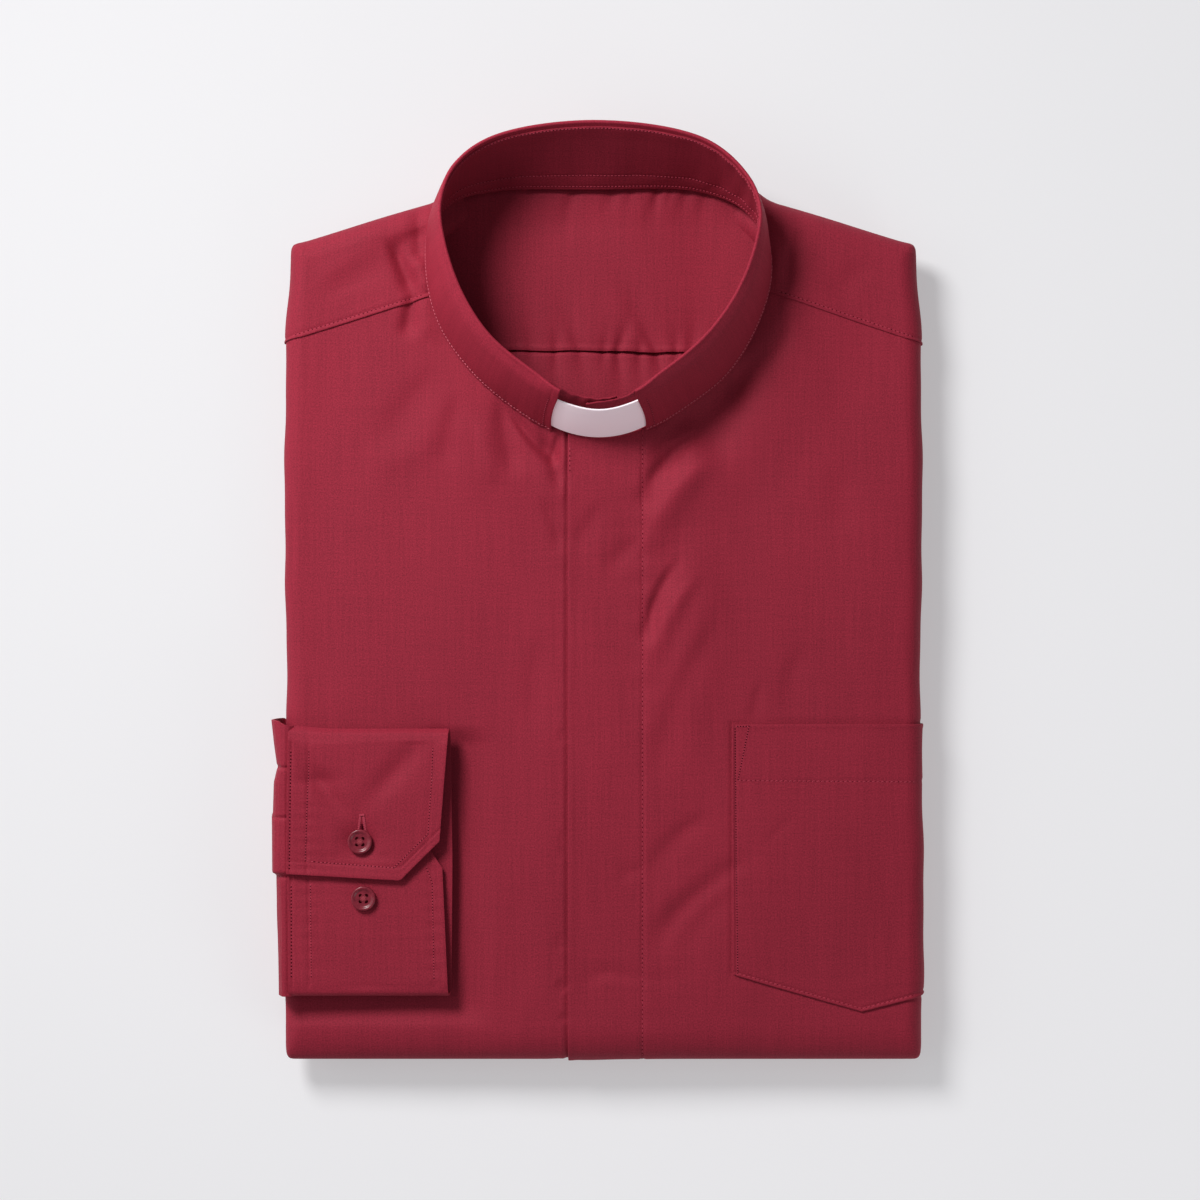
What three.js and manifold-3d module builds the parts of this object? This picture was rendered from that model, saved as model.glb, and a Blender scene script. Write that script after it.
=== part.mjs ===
// A clergy shirt with a tab collar, folded for the shelf and lying on its back.
// Millimetres, +Z up. X runs across the chest towards the wearer's left, Y from the folded tail end to the
// collar. The origin is on the underside, below the middle of the chest.
//
// Each cloth piece is a wall over a grid of points. The fronts, yoke, placket and pocket all take their
// points from one surface, the outside of the folded body, and lie at their own depth on it.
import * as THREE from "three";
import { mergeVertices } from "three/addons/utils/BufferGeometryUtils.js";
import Module from "manifold-3d";

const wasm = await Module();
wasm.setup();

// Driving dimensions.
const HALF_WIDTH = 144; // body, from the middle to a side fold
const TAIL_Y = -208; // the fold across the tail end
const BODY_TOP = 25; // the flat of the chest above the table
const SIDE_ROLL = 8; // how far in from a side fold the cloth starts to turn over
const TAIL_ROLL = 16;
const SHOULDER_ROLL = 10;
const NECK_ROLL = 4.5; // the shoulder fold behind the neck is thinner
const TUCK = 60; // degrees that the outer cloth turns on past the fold, to lie underneath
const FOLD_Z = 15.5; // height of the middle of a side fold, and of the cloth where it is tucked under
const TUCKED_Z = 7;
const NECK_SINK = 11.5; // how much lower the body is behind the neck, with its own fold heights
const NECK_FOLD_Z = 8;
const NECK_TUCKED_Z = 3.5;
const COLLAR_LIFT = 1.8; // how far the chest rises to the collar
const CLOTH = 1.2; // cloth wall
const SEAM_GAP = 0.3;
const BAND_WALL = 1.3; // the outer collar band, cloth on interlining
const TAB_WALL = 0.8;
const STACK_ROOM = 1.2; // extra room between a front and the hidden layers, for the front's folds
const PLACKET = { left: -16, right: 17.6, rise: 0.5, wall: 1.5, lap: 25 };
const POCKET = {
  left: 57.6,
  top: -55.9,
  leftBottom: -168.6,
  tipX: 116.2,
  tipY: -185.3,
  slope: 0.25, // of the foot beyond its point
  wall: 1,
};
const WELL = { x: -2, y: 132, halfWidth: 84, back: 52, front: 70, power: 2.4, floor: 9 };
const YOKE_SEAM_Y = 113.1; // the back yoke's seam, seen inside the neck
const BUTTON = { radius: 5.45, thickness: 2.3, rim: 1.1, holeRadius: 0.75, holeOffset: 1.3 };

const CLOTH_RED = 0x8b2c3c;
const TAB_WHITE = 0xe6e2e6;
const BUTTON_RED = 0x7a3440;

// The collar band, from the front centre round by the wearer's right, the back and the left. Each row has
// the place in plan of the seam with the body, and the point above it on the band's free edge.
const COLLAR = [
  { at: "front", seamX: -1.6, seamY: 72.6, rimX: -1.6, rimY: 86.8, rimZ: 58 },
  { at: "right tab end", seamX: -23.4, seamY: 76.2, rimX: -19.4, rimY: 91.4, rimZ: 58 },
  { at: "right front", seamX: -42, seamY: 87.1, rimX: -35.8, rimY: 101.7, rimZ: 58 },
  { at: "right front side", seamX: -60.4, seamY: 103.3, rimX: -52.6, rimY: 116.3, rimZ: 57.5 },
  { at: "right seam", seamX: -74.2, seamY: 123.8, rimX: -65.2, rimY: 136.6, rimZ: 57 },
  { at: "right side", seamX: -80, seamY: 147.8, rimX: -71.4, rimY: 157, rimZ: 56.5 },
  { at: "right behind", seamX: -78.4, seamY: 169, rimX: -72.6, rimY: 176, rimZ: 55 },
  { at: "right corner", seamX: -68.5, seamY: 181.3, rimX: -66.4, rimY: 192.6, rimZ: 51.5 },
  { at: "right back", seamX: -49.6, seamY: 187.2, rimX: -49.6, rimY: 205.6, rimZ: 48 },
  { at: "back", seamX: -3, seamY: 188, rimX: -3.2, rimY: 213, rimZ: 46 },
  { at: "left back", seamX: 42, seamY: 187.4, rimX: 45.2, rimY: 204.6, rimZ: 48 },
  { at: "left corner", seamX: 62.4, seamY: 179.6, rimX: 64, rimY: 188, rimZ: 51.5 },
  { at: "left behind", seamX: 73, seamY: 166, rimX: 69.6, rimY: 173, rimZ: 55 },
  { at: "left side", seamX: 75.6, seamY: 146, rimX: 67.6, rimY: 154, rimZ: 56.5 },
  { at: "left seam", seamX: 69, seamY: 122.6, rimX: 60.8, rimY: 135.5, rimZ: 57 },
  { at: "left front side", seamX: 56.4, seamY: 102, rimX: 47.3, rimY: 116.3, rimZ: 57.5 },
  { at: "left front", seamX: 39.6, seamY: 88, rimX: 31.8, rimY: 102.6, rimZ: 58 },
  { at: "left tab end", seamX: 20, seamY: 76.6, rimX: 14.8, rimY: 91.6, rimZ: 58 },
];

// The largest soft folds: a line on the flat, its height, below zero for a trough, and its half width.
const FOLDS = [
  { x1: 64, y1: 88, x2: 24, y2: 48, rise: -1.3, wide: 8 },
  { x1: 45, y1: 62, x2: 19, y2: 20, rise: 1.1, wide: 7 },
  { x1: 46, y1: 6, x2: 20, y2: -34, rise: -0.8, wide: 8 },
  { x1: 46, y1: -28, x2: 22, y2: -64, rise: 0.7, wide: 8 },
  { x1: 54, y1: -120, x2: 22, y2: -160, rise: -1.0, wide: 8 },
  { x1: -38, y1: 74, x2: -19, y2: 54, rise: -1.1, wide: 6 },
  { x1: -48, y1: 74, x2: -28, y2: 36, rise: -0.7, wide: 7 },
  { x1: -92, y1: 166, x2: -86, y2: 142, rise: -1.3, wide: 5 },
];

const { abs, cos, sin, sqrt, hypot, sign, min, max, PI } = Math;
const degrees = (angle) => (angle * PI) / 180;
const mix = (a, b, share) => a + (b - a) * share;
const ease = (from, to, value) => {
  const share = min(1, max(0, (value - from) / (to - from)));
  return share * share * (3 - 2 * share);
};

// Shares from 0 to 1 in equal steps.
const shares = (steps) => Array.from({ length: steps + 1 }, (_, i) => i / steps);

// ---- The folded body's outer surface ----------------------------------------------------------------

// 1 behind the neck, where the body is only its back layers, and 0 on the shoulders and chest.
const neckDrop = (x, y) => (1 - ease(46, 84, abs(x))) * ease(145, 175, y);

// The plan line of the fold along the shoulders and the back of the neck.
function shoulderY(x) {
  const shoulder = 179.5 - 0.29 * max(0, abs(x) - 77);
  return mix(shoulder, 192, ease(79, 58, abs(x)));
}

// The seam line between a front and the yoke.
const yokeSeamY = (x) => (x < 0 ? 136 - 0.31 * (-x - 79) : 138 - 0.33 * (x - 75));

// The side folds lean in a little above the seam and waver by half a millimetre.
function sideShift(y) {
  return -2.4 * ease(112, 162, y) + 0.5 * sin(y / 31) * ease(-200, -170, y);
}

function foldRise({ x1, y1, x2, y2, rise, wide }, x, y) {
  const length = hypot(x2 - x1, y2 - y1);
  const along = ((x - x1) * (x2 - x1) + (y - y1) * (y2 - y1)) / length ** 2;
  const aside = ((x - x1) * (y2 - y1) - (y - y1) * (x2 - x1)) / length;
  return rise * Math.exp(-((aside / wide) ** 2)) * ease(-0.3, 0.25, along) * ease(1.3, 0.75, along);
}

// Height of the flat of the body at a point in plan.
function bodyTop(x, y) {
  const toCollar = hypot(x - WELL.x, (y - WELL.y) * 1.1);
  const lift = COLLAR_LIFT * ease(125, 80, toCollar) * ease(165, 130, y);
  const folds = FOLDS.reduce((sum, fold) => sum + foldRise(fold, x, y), 0);
  return BODY_TOP + lift + folds - NECK_SINK * neckDrop(x, y);
}

// How the section runs on below the outer cloth: the edges of the hidden layers, down to the table. out is
// the share of the roll, high the share of the height of the tucked cloth above the table.
const LAYER_EDGES = [
  { out: -0.1, high: 1.08 },
  { out: 0.3, high: 1.0 },
  { out: 0.58, high: 0.8 },
  { out: 0.36, high: 0.58 },
  { out: 0.52, high: 0.38 },
  { out: 0.46, high: 0.16 },
  { out: 0.3, high: 0 },
];

// The roll at the tail end (end = -1) or along the shoulders (end = 1): its radius in plan, where it starts,
// and the heights of its middle and of the cloth tucked under it.
function endRoll(x, end) {
  const drop = end > 0 ? neckDrop(x, 180) : 0;
  const radius = end > 0 ? mix(SHOULDER_ROLL, NECK_ROLL, drop) : TAIL_ROLL;
  const startY = end > 0 ? shoulderY(x) - radius : TAIL_Y + radius;
  const middle = mix(FOLD_Z, NECK_FOLD_Z, drop);
  const tucked = mix(TUCKED_Z, NECK_TUCKED_Z, drop);
  return { radius, startY, middle, tucked };
}

// Height of the body's outside at a point in plan, also where it rounds over the shoulders.
function bodyHeight(x, y) {
  const { radius, startY, middle } = endRoll(x, 1);
  const over = min(1, max(0, (y - startY) / radius));
  return middle + (bodyTop(x, min(y, startY)) - middle) * sqrt(1 - over ** 2);
}

// A place on the body's outside. rollX and rollY are 0 on the flat, 1 where the outer cloth ends underneath
// and 2 at the table. Their sign tells the side. most is the largest roll that the grid uses.
function bodyPoint({ x, y, rollX, rollY }, most) {
  const spreadX = (abs(rollX) / most) * sqrt(1 - (rollY / most) ** 2 / 2);
  const spreadY = (abs(rollY) / most) * sqrt(1 - (rollX / most) ** 2 / 2);
  const reach = most * hypot(spreadX, spreadY);
  const headingX = reach ? (spreadX * most) / reach : 0;
  const headingY = reach ? (spreadY * most) / reach : 0;
  const square = (headingX ** 4 + headingY ** 4 || 1) ** -0.25; // keeps the plan corners tight

  const flatX = rollX ? sign(rollX) * (HALF_WIDTH - SIDE_ROLL) : x;
  const { radius, startY, middle, tucked } = endRoll(flatX, rollY || y);
  const flatY = rollY ? startY : y;
  const top = bodyTop(flatX, flatY);
  let out, z;
  if (reach <= 1) {
    const angle = degrees(90 - reach * (90 + TUCK));
    out = cos(angle);
    z = middle + (sin(angle) > 0 ? top - middle : middle - tucked) * sin(angle);
  } else {
    const ends = [{ out: cos(degrees(TUCK)), high: 1.16 }, ...LAYER_EDGES];
    const step = (reach - 1) * LAYER_EDGES.length;
    const index = min(Math.floor(step), LAYER_EDGES.length - 1);
    out = mix(ends[index].out, ends[index + 1].out, step - index);
    z = tucked * mix(ends[index].high, ends[index + 1].high, step - index);
  }
  const plan = new THREE.Vector3(
    flatX + sign(rollX) * SIDE_ROLL * out * headingX * square,
    flatY + sign(rollY) * radius * out * headingY * square,
    z,
  );
  plan.x += sign(plan.x) * sideShift(plan.y) * ease(90, 140, abs(plan.x));
  return plan;
}

// ---- Grids and walls --------------------------------------------------------------------------------

// The outward normal at each point of a grid, from its neighbours.
function gridNormals(grid, turn) {
  const last = grid.length - 1;
  return grid.map((row, j) =>
    row.map((_, i) => {
      const along = row[min(i + 1, row.length - 1)].clone().sub(row[max(i - 1, 0)]);
      const across = grid[min(j + 1, last)][i].clone().sub(grid[max(j - 1, 0)][i]);
      return along.cross(across).normalize().multiplyScalar(turn);
    }),
  );
}

// A closed mesh from quads and triangles of points. It is turned face out by its own volume.
function solidGeometry(faces) {
  const corners = [];
  for (const face of faces) {
    for (let k = 1; k + 1 < face.length; k++) corners.push(face[0], face[k], face[k + 1]);
  }
  let volume = 0;
  for (let k = 0; k < corners.length; k += 3) {
    volume += corners[k].dot(corners[k + 1].clone().cross(corners[k + 2]));
  }
  if (volume < 0) corners.reverse();
  const geometry = new THREE.BufferGeometry().setFromPoints(corners);
  geometry.computeVertexNormals();
  return geometry;
}

// A wall from a grid of points. outer and inner give how far each face lies out from the grid's surface.
function wallGeometry(grid, { outer, inner, turn = 1 }) {
  const normals = gridNormals(grid, turn);
  const depth = (value, point) => (typeof value === "function" ? value(point) : value);
  const face = (value) =>
    grid.map((row, j) => row.map((p, i) => p.clone().addScaledVector(normals[j][i], depth(value, p))));
  const front = face(outer);
  const back = face(inner);
  const rows = grid.length - 1;
  const columns = grid[0].length - 1;
  const faces = [];
  for (let j = 0; j < rows; j++) {
    for (let i = 0; i < columns; i++) {
      faces.push([front[j][i], front[j][i + 1], front[j + 1][i + 1], front[j + 1][i]]);
      faces.push([back[j][i], back[j + 1][i], back[j + 1][i + 1], back[j][i + 1]]);
    }
    faces.push([front[j][0], front[j + 1][0], back[j + 1][0], back[j][0]]);
    faces.push([front[j][columns], back[j][columns], back[j + 1][columns], front[j + 1][columns]]);
  }
  for (let i = 0; i < columns; i++) {
    faces.push([front[0][i], back[0][i], back[0][i + 1], front[0][i + 1]]);
    faces.push([front[rows][i], front[rows][i + 1], back[rows][i + 1], back[rows][i]]);
  }
  return solidGeometry(faces);
}

// A grid on the body. Each column has x and rollX. lowerY and upperY bound the flat, and rolls lists the
// rolls that follow the flat over the tail end (below zero) or the shoulders.
function bodyGrid({ columns, lowerY, upperY, steps, rolls = [] }) {
  const flat = shares(steps).map((share) => ({ share, rollY: 0 }));
  const rows = [
    ...rolls.filter((roll) => roll < 0).map((rollY) => ({ share: 0, rollY })),
    ...flat,
    ...rolls.filter((roll) => roll > 0).map((rollY) => ({ share: 1, rollY })),
  ];
  return rows.map(({ share, rollY }) =>
    columns.map(({ x, rollX }) =>
      bodyPoint({ x, y: mix(lowerY(x), upperY(x), share), rollX, rollY }, 1),
    ),
  );
}

const ROLLS = [0.15, 0.3, 0.45, 0.6, 0.8, 1];
const onFlat = (x) => ({ x, rollX: 0 });
const flatEdge = HALF_WIDTH - SIDE_ROLL;
const rightRolls = [...ROLLS].reverse().map((roll) => ({ x: -flatEdge, rollX: -roll }));
const leftRolls = ROLLS.map((roll) => ({ x: flatEdge, rollX: roll }));
const between = (from, to, steps) => shares(steps).map((share) => mix(from, to, share));

function clothMesh(name, geometry, colour = CLOTH_RED, roughness = 0.85) {
  const material = new THREE.MeshStandardMaterial({ color: colour, roughness, metalness: 0 });
  const mesh = new THREE.Mesh(geometry, material);
  mesh.name = name;
  return mesh;
}

// Booleans.
function toManifold(geometry) {
  const bare = geometry.clone();
  bare.deleteAttribute("normal");
  bare.deleteAttribute("uv");
  const merged = mergeVertices(bare, 1e-4);
  return new wasm.Manifold(
    new wasm.Mesh({
      numProp: 3,
      vertProperties: new Float32Array(merged.attributes.position.array),
      triVerts: new Uint32Array(merged.index.array),
    }),
  );
}

function fromManifold(solid) {
  const { vertProperties, triVerts } = solid.getMesh();
  const geometry = new THREE.BufferGeometry();
  geometry.setAttribute("position", new THREE.BufferAttribute(vertProperties, 3));
  geometry.setIndex(new THREE.BufferAttribute(triVerts, 1));
  geometry.computeVertexNormals();
  return geometry;
}

// ---- The collar's two lines -------------------------------------------------------------------------

const seamPoint = (row) => new THREE.Vector3(row.seamX, row.seamY, 0);
const rimPoint = (row) => new THREE.Vector3(row.rimX, row.rimY, row.rimZ);
const seamRing = new THREE.CatmullRomCurve3(COLLAR.map(seamPoint), true, "centripetal");
const rimRing = new THREE.CatmullRomCurve3(COLLAR.map(rimPoint), true, "centripetal");
const STATION = 1 / COLLAR.length; // one row of the table along either ring
const BAND_STEPS = 4 * COLLAR.length; // grid columns round the whole ring
const BAND_LIFT = 1.5; // the band's lower edge above the body's cloth
const BAND_GAP = 0.5; // between the band's two sides, which turn tight corners together

// Columns of the band's grid from one station to another, counted from the front centre.
function bandTurns(fromStation, toStation) {
  const first = Math.round(fromStation * 4);
  const last = Math.round(toStation * 4);
  return Array.from({ length: last - first + 1 }, (_, i) => (first + i) / BAND_STEPS);
}

// A point on the band: turn runs round the ring from the front centre, height from seam to free edge.
function bandPoint(turn, height) {
  const around = turn - Math.floor(turn);
  const bulge = 1.2 * 4 * height * (1 - height);
  const seam = seamRing.getPoint(around);
  seam.z = bodyHeight(seam.x, seam.y) + BAND_LIFT;
  const point = seam.clone().lerp(rimRing.getPoint(around), height);
  const outward = new THREE.Vector3(point.x - WELL.x, point.y - WELL.y, 0).normalize();
  return point.addScaledVector(outward, max(0, bulge));
}

const bandGrid = (turns, heights) =>
  heights.map((height) => turns.map((turn) => bandPoint(turn, height)));

// The neckline in plan: the collar seam, drawn in so that the body's cloth ends below the band.
const NECK_INSET = 1.5;
const neckline = seamRing.getPoints(180).map((p) => {
  const inward = new THREE.Vector3(WELL.x - p.x, WELL.y - p.y, 0).normalize();
  return p.addScaledVector(inward, NECK_INSET);
});

// Where the neckline crosses x, on its front (end = -1) or its back (end = 1).
function necklineY(x, end) {
  const crossings = neckline.slice(1).flatMap((to, i) => {
    const from = neckline[i];
    if ((from.x - x) * (to.x - x) > 0 || from.x === to.x) return [];
    return [mix(from.y, to.y, (x - from.x) / (to.x - from.x))];
  });
  return end * max(...crossings.map((y) => end * y));
}

// ---- Body pieces ------------------------------------------------------------------------------------

// The hidden layers: back, tail and sleeves, folded in a stack whose edges show as layers at the sides.
function foldedLayers() {
  const halfX = [50, 60, 68, 76, 86, 104, flatEdge];
  const flatX = [...halfX.map((x) => -x).reverse(), -30, -19, 10, 20, ...halfX];
  const flatY = [TAIL_Y + TAIL_ROLL, -150, -90, -30, 30, 75];
  const rollSteps = [...ROLLS, ...shares(LAYER_EDGES.length).slice(1).map((share) => 1 + share)];
  const before = [...rollSteps].reverse().map((roll) => -roll);
  const across = [
    ...before.map((roll) => ({ x: -flatEdge, roll })),
    ...flatX.map((x) => ({ x, roll: 0 })),
    ...rollSteps.map((roll) => ({ x: flatEdge, roll })),
  ];
  const along = [
    ...before.map((roll) => ({ y: 0, roll })),
    ...flatY.map((y) => ({ y, roll: 0, toShoulder: 0 })),
    ...[0, 0.3, 0.6, 0.85, 1].map((toShoulder) => ({ y: 105, roll: 0, toShoulder })),
    ...rollSteps.map((roll) => ({ y: 0, roll })),
  ];
  const grid = along.map((row) =>
    across.map((column) => {
      const y = mix(row.y, endRoll(column.x, 1).startY, row.toShoulder || 0);
      return bodyPoint({ x: column.x, y, rollX: column.roll, rollY: row.roll }, 2);
    }),
  );
  const normals = gridNormals(grid, 1);
  const sunk = CLOTH + SEAM_GAP + 0.25;
  grid.forEach((row, j) =>
    row.forEach((p, i) => {
      const reach = max(abs(across[i].roll), abs(along[j].roll));
      const channel = ease(-30, -19, p.x) * ease(20, 10, p.x) * ease(130, 90, p.y);
      const room = STACK_ROOM * ease(0.5, 0, reach) + (STACK_ROOM / 2) * ease(60, 110, p.y);
      const depth = sunk + room + channel * (PLACKET.wall + CLOTH - 0.4);
      p.addScaledVector(normals[j][i], -depth * ease(1.3, 1, reach));
      if (reach === 2) p.z = 0;
    }),
  );
  const faces = [];
  for (let j = 0; j + 1 < grid.length; j++) {
    for (let i = 0; i + 1 < across.length; i++) {
      faces.push([grid[j][i], grid[j][i + 1], grid[j + 1][i + 1], grid[j + 1][i]]);
    }
  }
  const lastRow = grid.length - 1;
  const lastColumn = across.length - 1;
  const foot = [
    ...grid[0],
    ...grid.slice(1).map((row) => row[lastColumn]),
    ...[...grid[lastRow]].reverse().slice(1),
    ...grid.slice(1, lastRow).map((row) => row[0]).reverse(),
  ];
  const footMiddle = new THREE.Vector3(0, 0, 0);
  foot.forEach((p, k) => faces.push([footMiddle, foot[(k + 1) % foot.length], p]));
  const stack = toManifold(solidGeometry(faces));
  const well = new THREE.ExtrudeGeometry(new THREE.Shape(wellOutline(40)), {
    depth: 60,
    bevelEnabled: false,
  }).translate(0, 0, WELL.floor);
  return fromManifold(stack.subtract(toManifold(well)));
}

// The hollow under the neck in plan, rounder at the front than at the back.
function wellOutline(points) {
  return shares(points).slice(1).map((share) => {
    const angle = 2 * PI * share;
    const power = 2 / WELL.power;
    const deep = sin(angle) > 0 ? WELL.back : WELL.front;
    return new THREE.Vector2(
      WELL.x + WELL.halfWidth * sign(cos(angle)) * abs(cos(angle)) ** power,
      WELL.y + deep * sign(sin(angle)) * abs(sin(angle)) ** power,
    );
  });
}

function wellY(x, end) {
  const across = abs((x - WELL.x) / WELL.halfWidth);
  const deep = end > 0 ? WELL.back : WELL.front;
  return WELL.y + end * deep * (1 - across ** WELL.power) ** (1 / WELL.power);
}

const TAIL_ROLLS = [...ROLLS].reverse().map((roll) => -roll);
const tailY = () => TAIL_Y + TAIL_ROLL;
const pastSeam = (p) => p.y >= yokeSeamY(p.x);
const NECK_RIGHT = neckline.find(pastSeam).x; // where the yoke seams meet the neckline
const NECK_LEFT = [...neckline].reverse().find(pastSeam).x;

// The wearer's right front runs on under the placket, and sinks to make room for it.
function rightFront() {
  const flat = [...between(-flatEdge, NECK_RIGHT, 5), -75.8, -72, -63, -52, -40, -28, -22, -16, -8, 0, 8];
  const columns = [...rightRolls, ...flat.map(onFlat)];
  const upperY = (x) => (x <= NECK_RIGHT ? yokeSeamY(x) : necklineY(x, -1));
  const sink = (p) => -(PLACKET.wall + 0.4) * ease(-27, -16.5, p.x);
  const grid = bodyGrid({ columns, lowerY: tailY, upperY, steps: 20, rolls: TAIL_ROLLS });
  return wallGeometry(grid, { outer: sink, inner: (p) => sink(p) - CLOTH });
}

function leftFront() {
  const flat = [PLACKET.right + SEAM_GAP, 24, 31, 40, 50, 60, 67, 71, ...between(NECK_LEFT, flatEdge, 6)];
  const columns = [...flat.map(onFlat), ...leftRolls];
  const upperY = (x) => (x >= NECK_LEFT ? yokeSeamY(x) : necklineY(x, -1));
  const grid = bodyGrid({ columns, lowerY: tailY, upperY, steps: 20, rolls: TAIL_ROLLS });
  return wallGeometry(grid, { outer: 0, inner: -CLOTH });
}

// The fly front's placket: proud at its free edge, level with the left front at its row of stitching.
function placket() {
  const columns = between(PLACKET.left, PLACKET.right, 4).map(onFlat);
  const upperY = (x) => necklineY(x, -1) - 1;
  const rise = (p) => PLACKET.rise * ease(PLACKET.right, PLACKET.left + 6, p.x);
  const grid = bodyGrid({ columns, lowerY: tailY, upperY, steps: 22, rolls: TAIL_ROLLS });
  return wallGeometry(grid, { outer: rise, inner: (p) => rise(p) - PLACKET.wall });
}

// The yoke lies over both shoulders and passes behind the neck. A column that starts on the flat has rows
// to the fold and rows round it. One that starts at the neckline on the fold spreads its rows round the rest.
function yoke() {
  const columns = [
    ...rightRolls,
    ...between(-flatEdge, -80.2, 5).map(onFlat),
    ...[-79.8, -78, -74.5, -69, -60, -45, -15, 15, 40, 56, 65, 70.6, 73.6, 75.4].map(onFlat),
    ...between(75.8, flatEdge, 5).map(onFlat),
    ...leftRolls,
  ];
  const grid = between(0, 2, 11).map((step) =>
    columns.map(({ x, rollX }) => {
      const { radius, startY } = endRoll(x, 1);
      const onShoulder = x < -80 || x > 75.6;
      const lowY = onShoulder ? yokeSeamY(x) + SEAM_GAP : necklineY(min(73.6, max(-78, x)), 1);
      const length = radius * degrees(90 + TUCK);
      const onRoll = Math.asin(min(1, max(0, (lowY - startY) / radius))) / degrees(90 + TUCK);
      const from = onRoll > 0 ? onRoll * length : lowY - startY;
      const knee = max(0, mix(from, length, 0.45 * ease(0, 2, from)));
      const along = step < 1 ? mix(from, knee, step) : mix(knee, length, step - 1);
      const rollY = max(1e-6, along / length);
      return along < 0
        ? bodyPoint({ x, y: startY + along, rollX, rollY: 0 }, 1)
        : bodyPoint({ x, y: startY, rollX, rollY }, 1);
    }),
  );
  return wallGeometry(grid, { outer: 0.3, inner: 0.3 - CLOTH });
}

// A plain sheet that lies in the neck well.
function wellSheet({ columns, lowerY, upperY, steps, height }) {
  const grid = shares(steps).map((share) =>
    columns.map((x) => {
      const y = mix(lowerY(x), upperY(x), share);
      return new THREE.Vector3(x, y, height(x, y));
    }),
  );
  return wallGeometry(grid, { outer: 0, inner: -CLOTH });
}

// The inner yoke, seen through the neck, puckers a little where the back is sewn to it.
function innerYoke() {
  const pucker = (x, y) => 0.35 * sin(x / 4.5) * ease(140, 116, y);
  return wellSheet({
    columns: between(-74, 70, 16),
    lowerY: () => YOKE_SEAM_Y,
    upperY: (x) => min(wellY(x, 1) - 1.5, 183),
    steps: 8,
    height: (x, y) => 11.2 + pucker(x, y) + 0.6 * ease(165, 183, y),
  });
}

function back() {
  const gather = (x, y) => 0.35 * sin(x / 4.5) * ease(85, 110, y);
  return wellSheet({
    columns: between(-72, 68, 14),
    lowerY: (x) => wellY(x, -1) + 1.5,
    upperY: () => YOKE_SEAM_Y - SEAM_GAP,
    steps: 4,
    height: (x, y) => 10.7 + gather(x, y),
  });
}

// The breast pocket, pointed at the foot, turns over the side fold with the front.
function pocket() {
  const columns = [...between(POCKET.left, POCKET.tipX, 5), ...between(POCKET.tipX, flatEdge, 3).slice(1)];
  const reach = (column) => column.x + (column.rollX || 0) * SIDE_ROLL * 2.4;
  const foot = (across) =>
    across < POCKET.tipX
      ? mix(POCKET.leftBottom, POCKET.tipY, (across - POCKET.left) / (POCKET.tipX - POCKET.left))
      : POCKET.tipY + POCKET.slope * (across - POCKET.tipX);
  const all = [...columns.map(onFlat), ...leftRolls];
  const grid = shares(8).map((share) =>
    all.map((column) =>
      bodyPoint({ ...column, y: mix(foot(reach(column)), POCKET.top, share), rollY: 0 }, 1),
    ),
  );
  return wallGeometry(grid, { outer: SEAM_GAP + POCKET.wall, inner: SEAM_GAP });
}

// ---- Collar -----------------------------------------------------------------------------------------

// The outer band stops at each side of the tab.
function outerBand() {
  const turns = bandTurns(1, COLLAR.length - 1);
  return wallGeometry(bandGrid(turns, [0, 0.35, 0.7, 1]), { outer: 0, inner: -BAND_WALL, turn: -1 });
}

// The inner band closes behind the tab: its left end lies over its right one. Both leave the outer band at
// the front, to make room for the tab, and meet it again at the seam.
const INNER = { wall: 1.1, startStation: -0.5, endStation: 18.5, recess: 3.2, lap: 1.7 };

function innerBandInset(turn, height) {
  const station = turn / STATION;
  const fromFront = min(abs(station), abs(COLLAR.length - station));
  const behindTab = INNER.recess * ease(2.6, 1.2, fromFront);
  const under = INNER.lap * ease(1.6, 0.6, station);
  const raised = ease(0, 0.4, height);
  return BAND_WALL + BAND_GAP + behindTab * mix(0.45, 1, raised) + under * raised;
}

function innerBand() {
  const turns = bandTurns(INNER.startStation, INNER.endStation);
  const heights = [0.05, 0.35, 0.65, 0.91];
  const grid = bandGrid(turns, heights);
  const normals = gridNormals(grid, -1);
  const sunk = grid.map((row, j) =>
    row.map((p, i) => p.clone().addScaledVector(normals[j][i], -innerBandInset(turns[i], heights[j]))),
  );
  return wallGeometry(sunk, { outer: 0, inner: -INNER.wall, turn: -1 });
}

// The stiff white tab sits behind the band's ends and shows in the gap between them.
function tab() {
  const turns = bandTurns(-1.5, 1.5);
  const grid = bandGrid(turns, [0.04, 0.3, 0.55, 0.78]);
  const depth = BAND_WALL + BAND_GAP - 0.1;
  return wallGeometry(grid, { outer: -depth, inner: -depth - TAB_WALL, turn: -1 });
}

// ---- Cuff and sleeve --------------------------------------------------------------------------------

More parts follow.
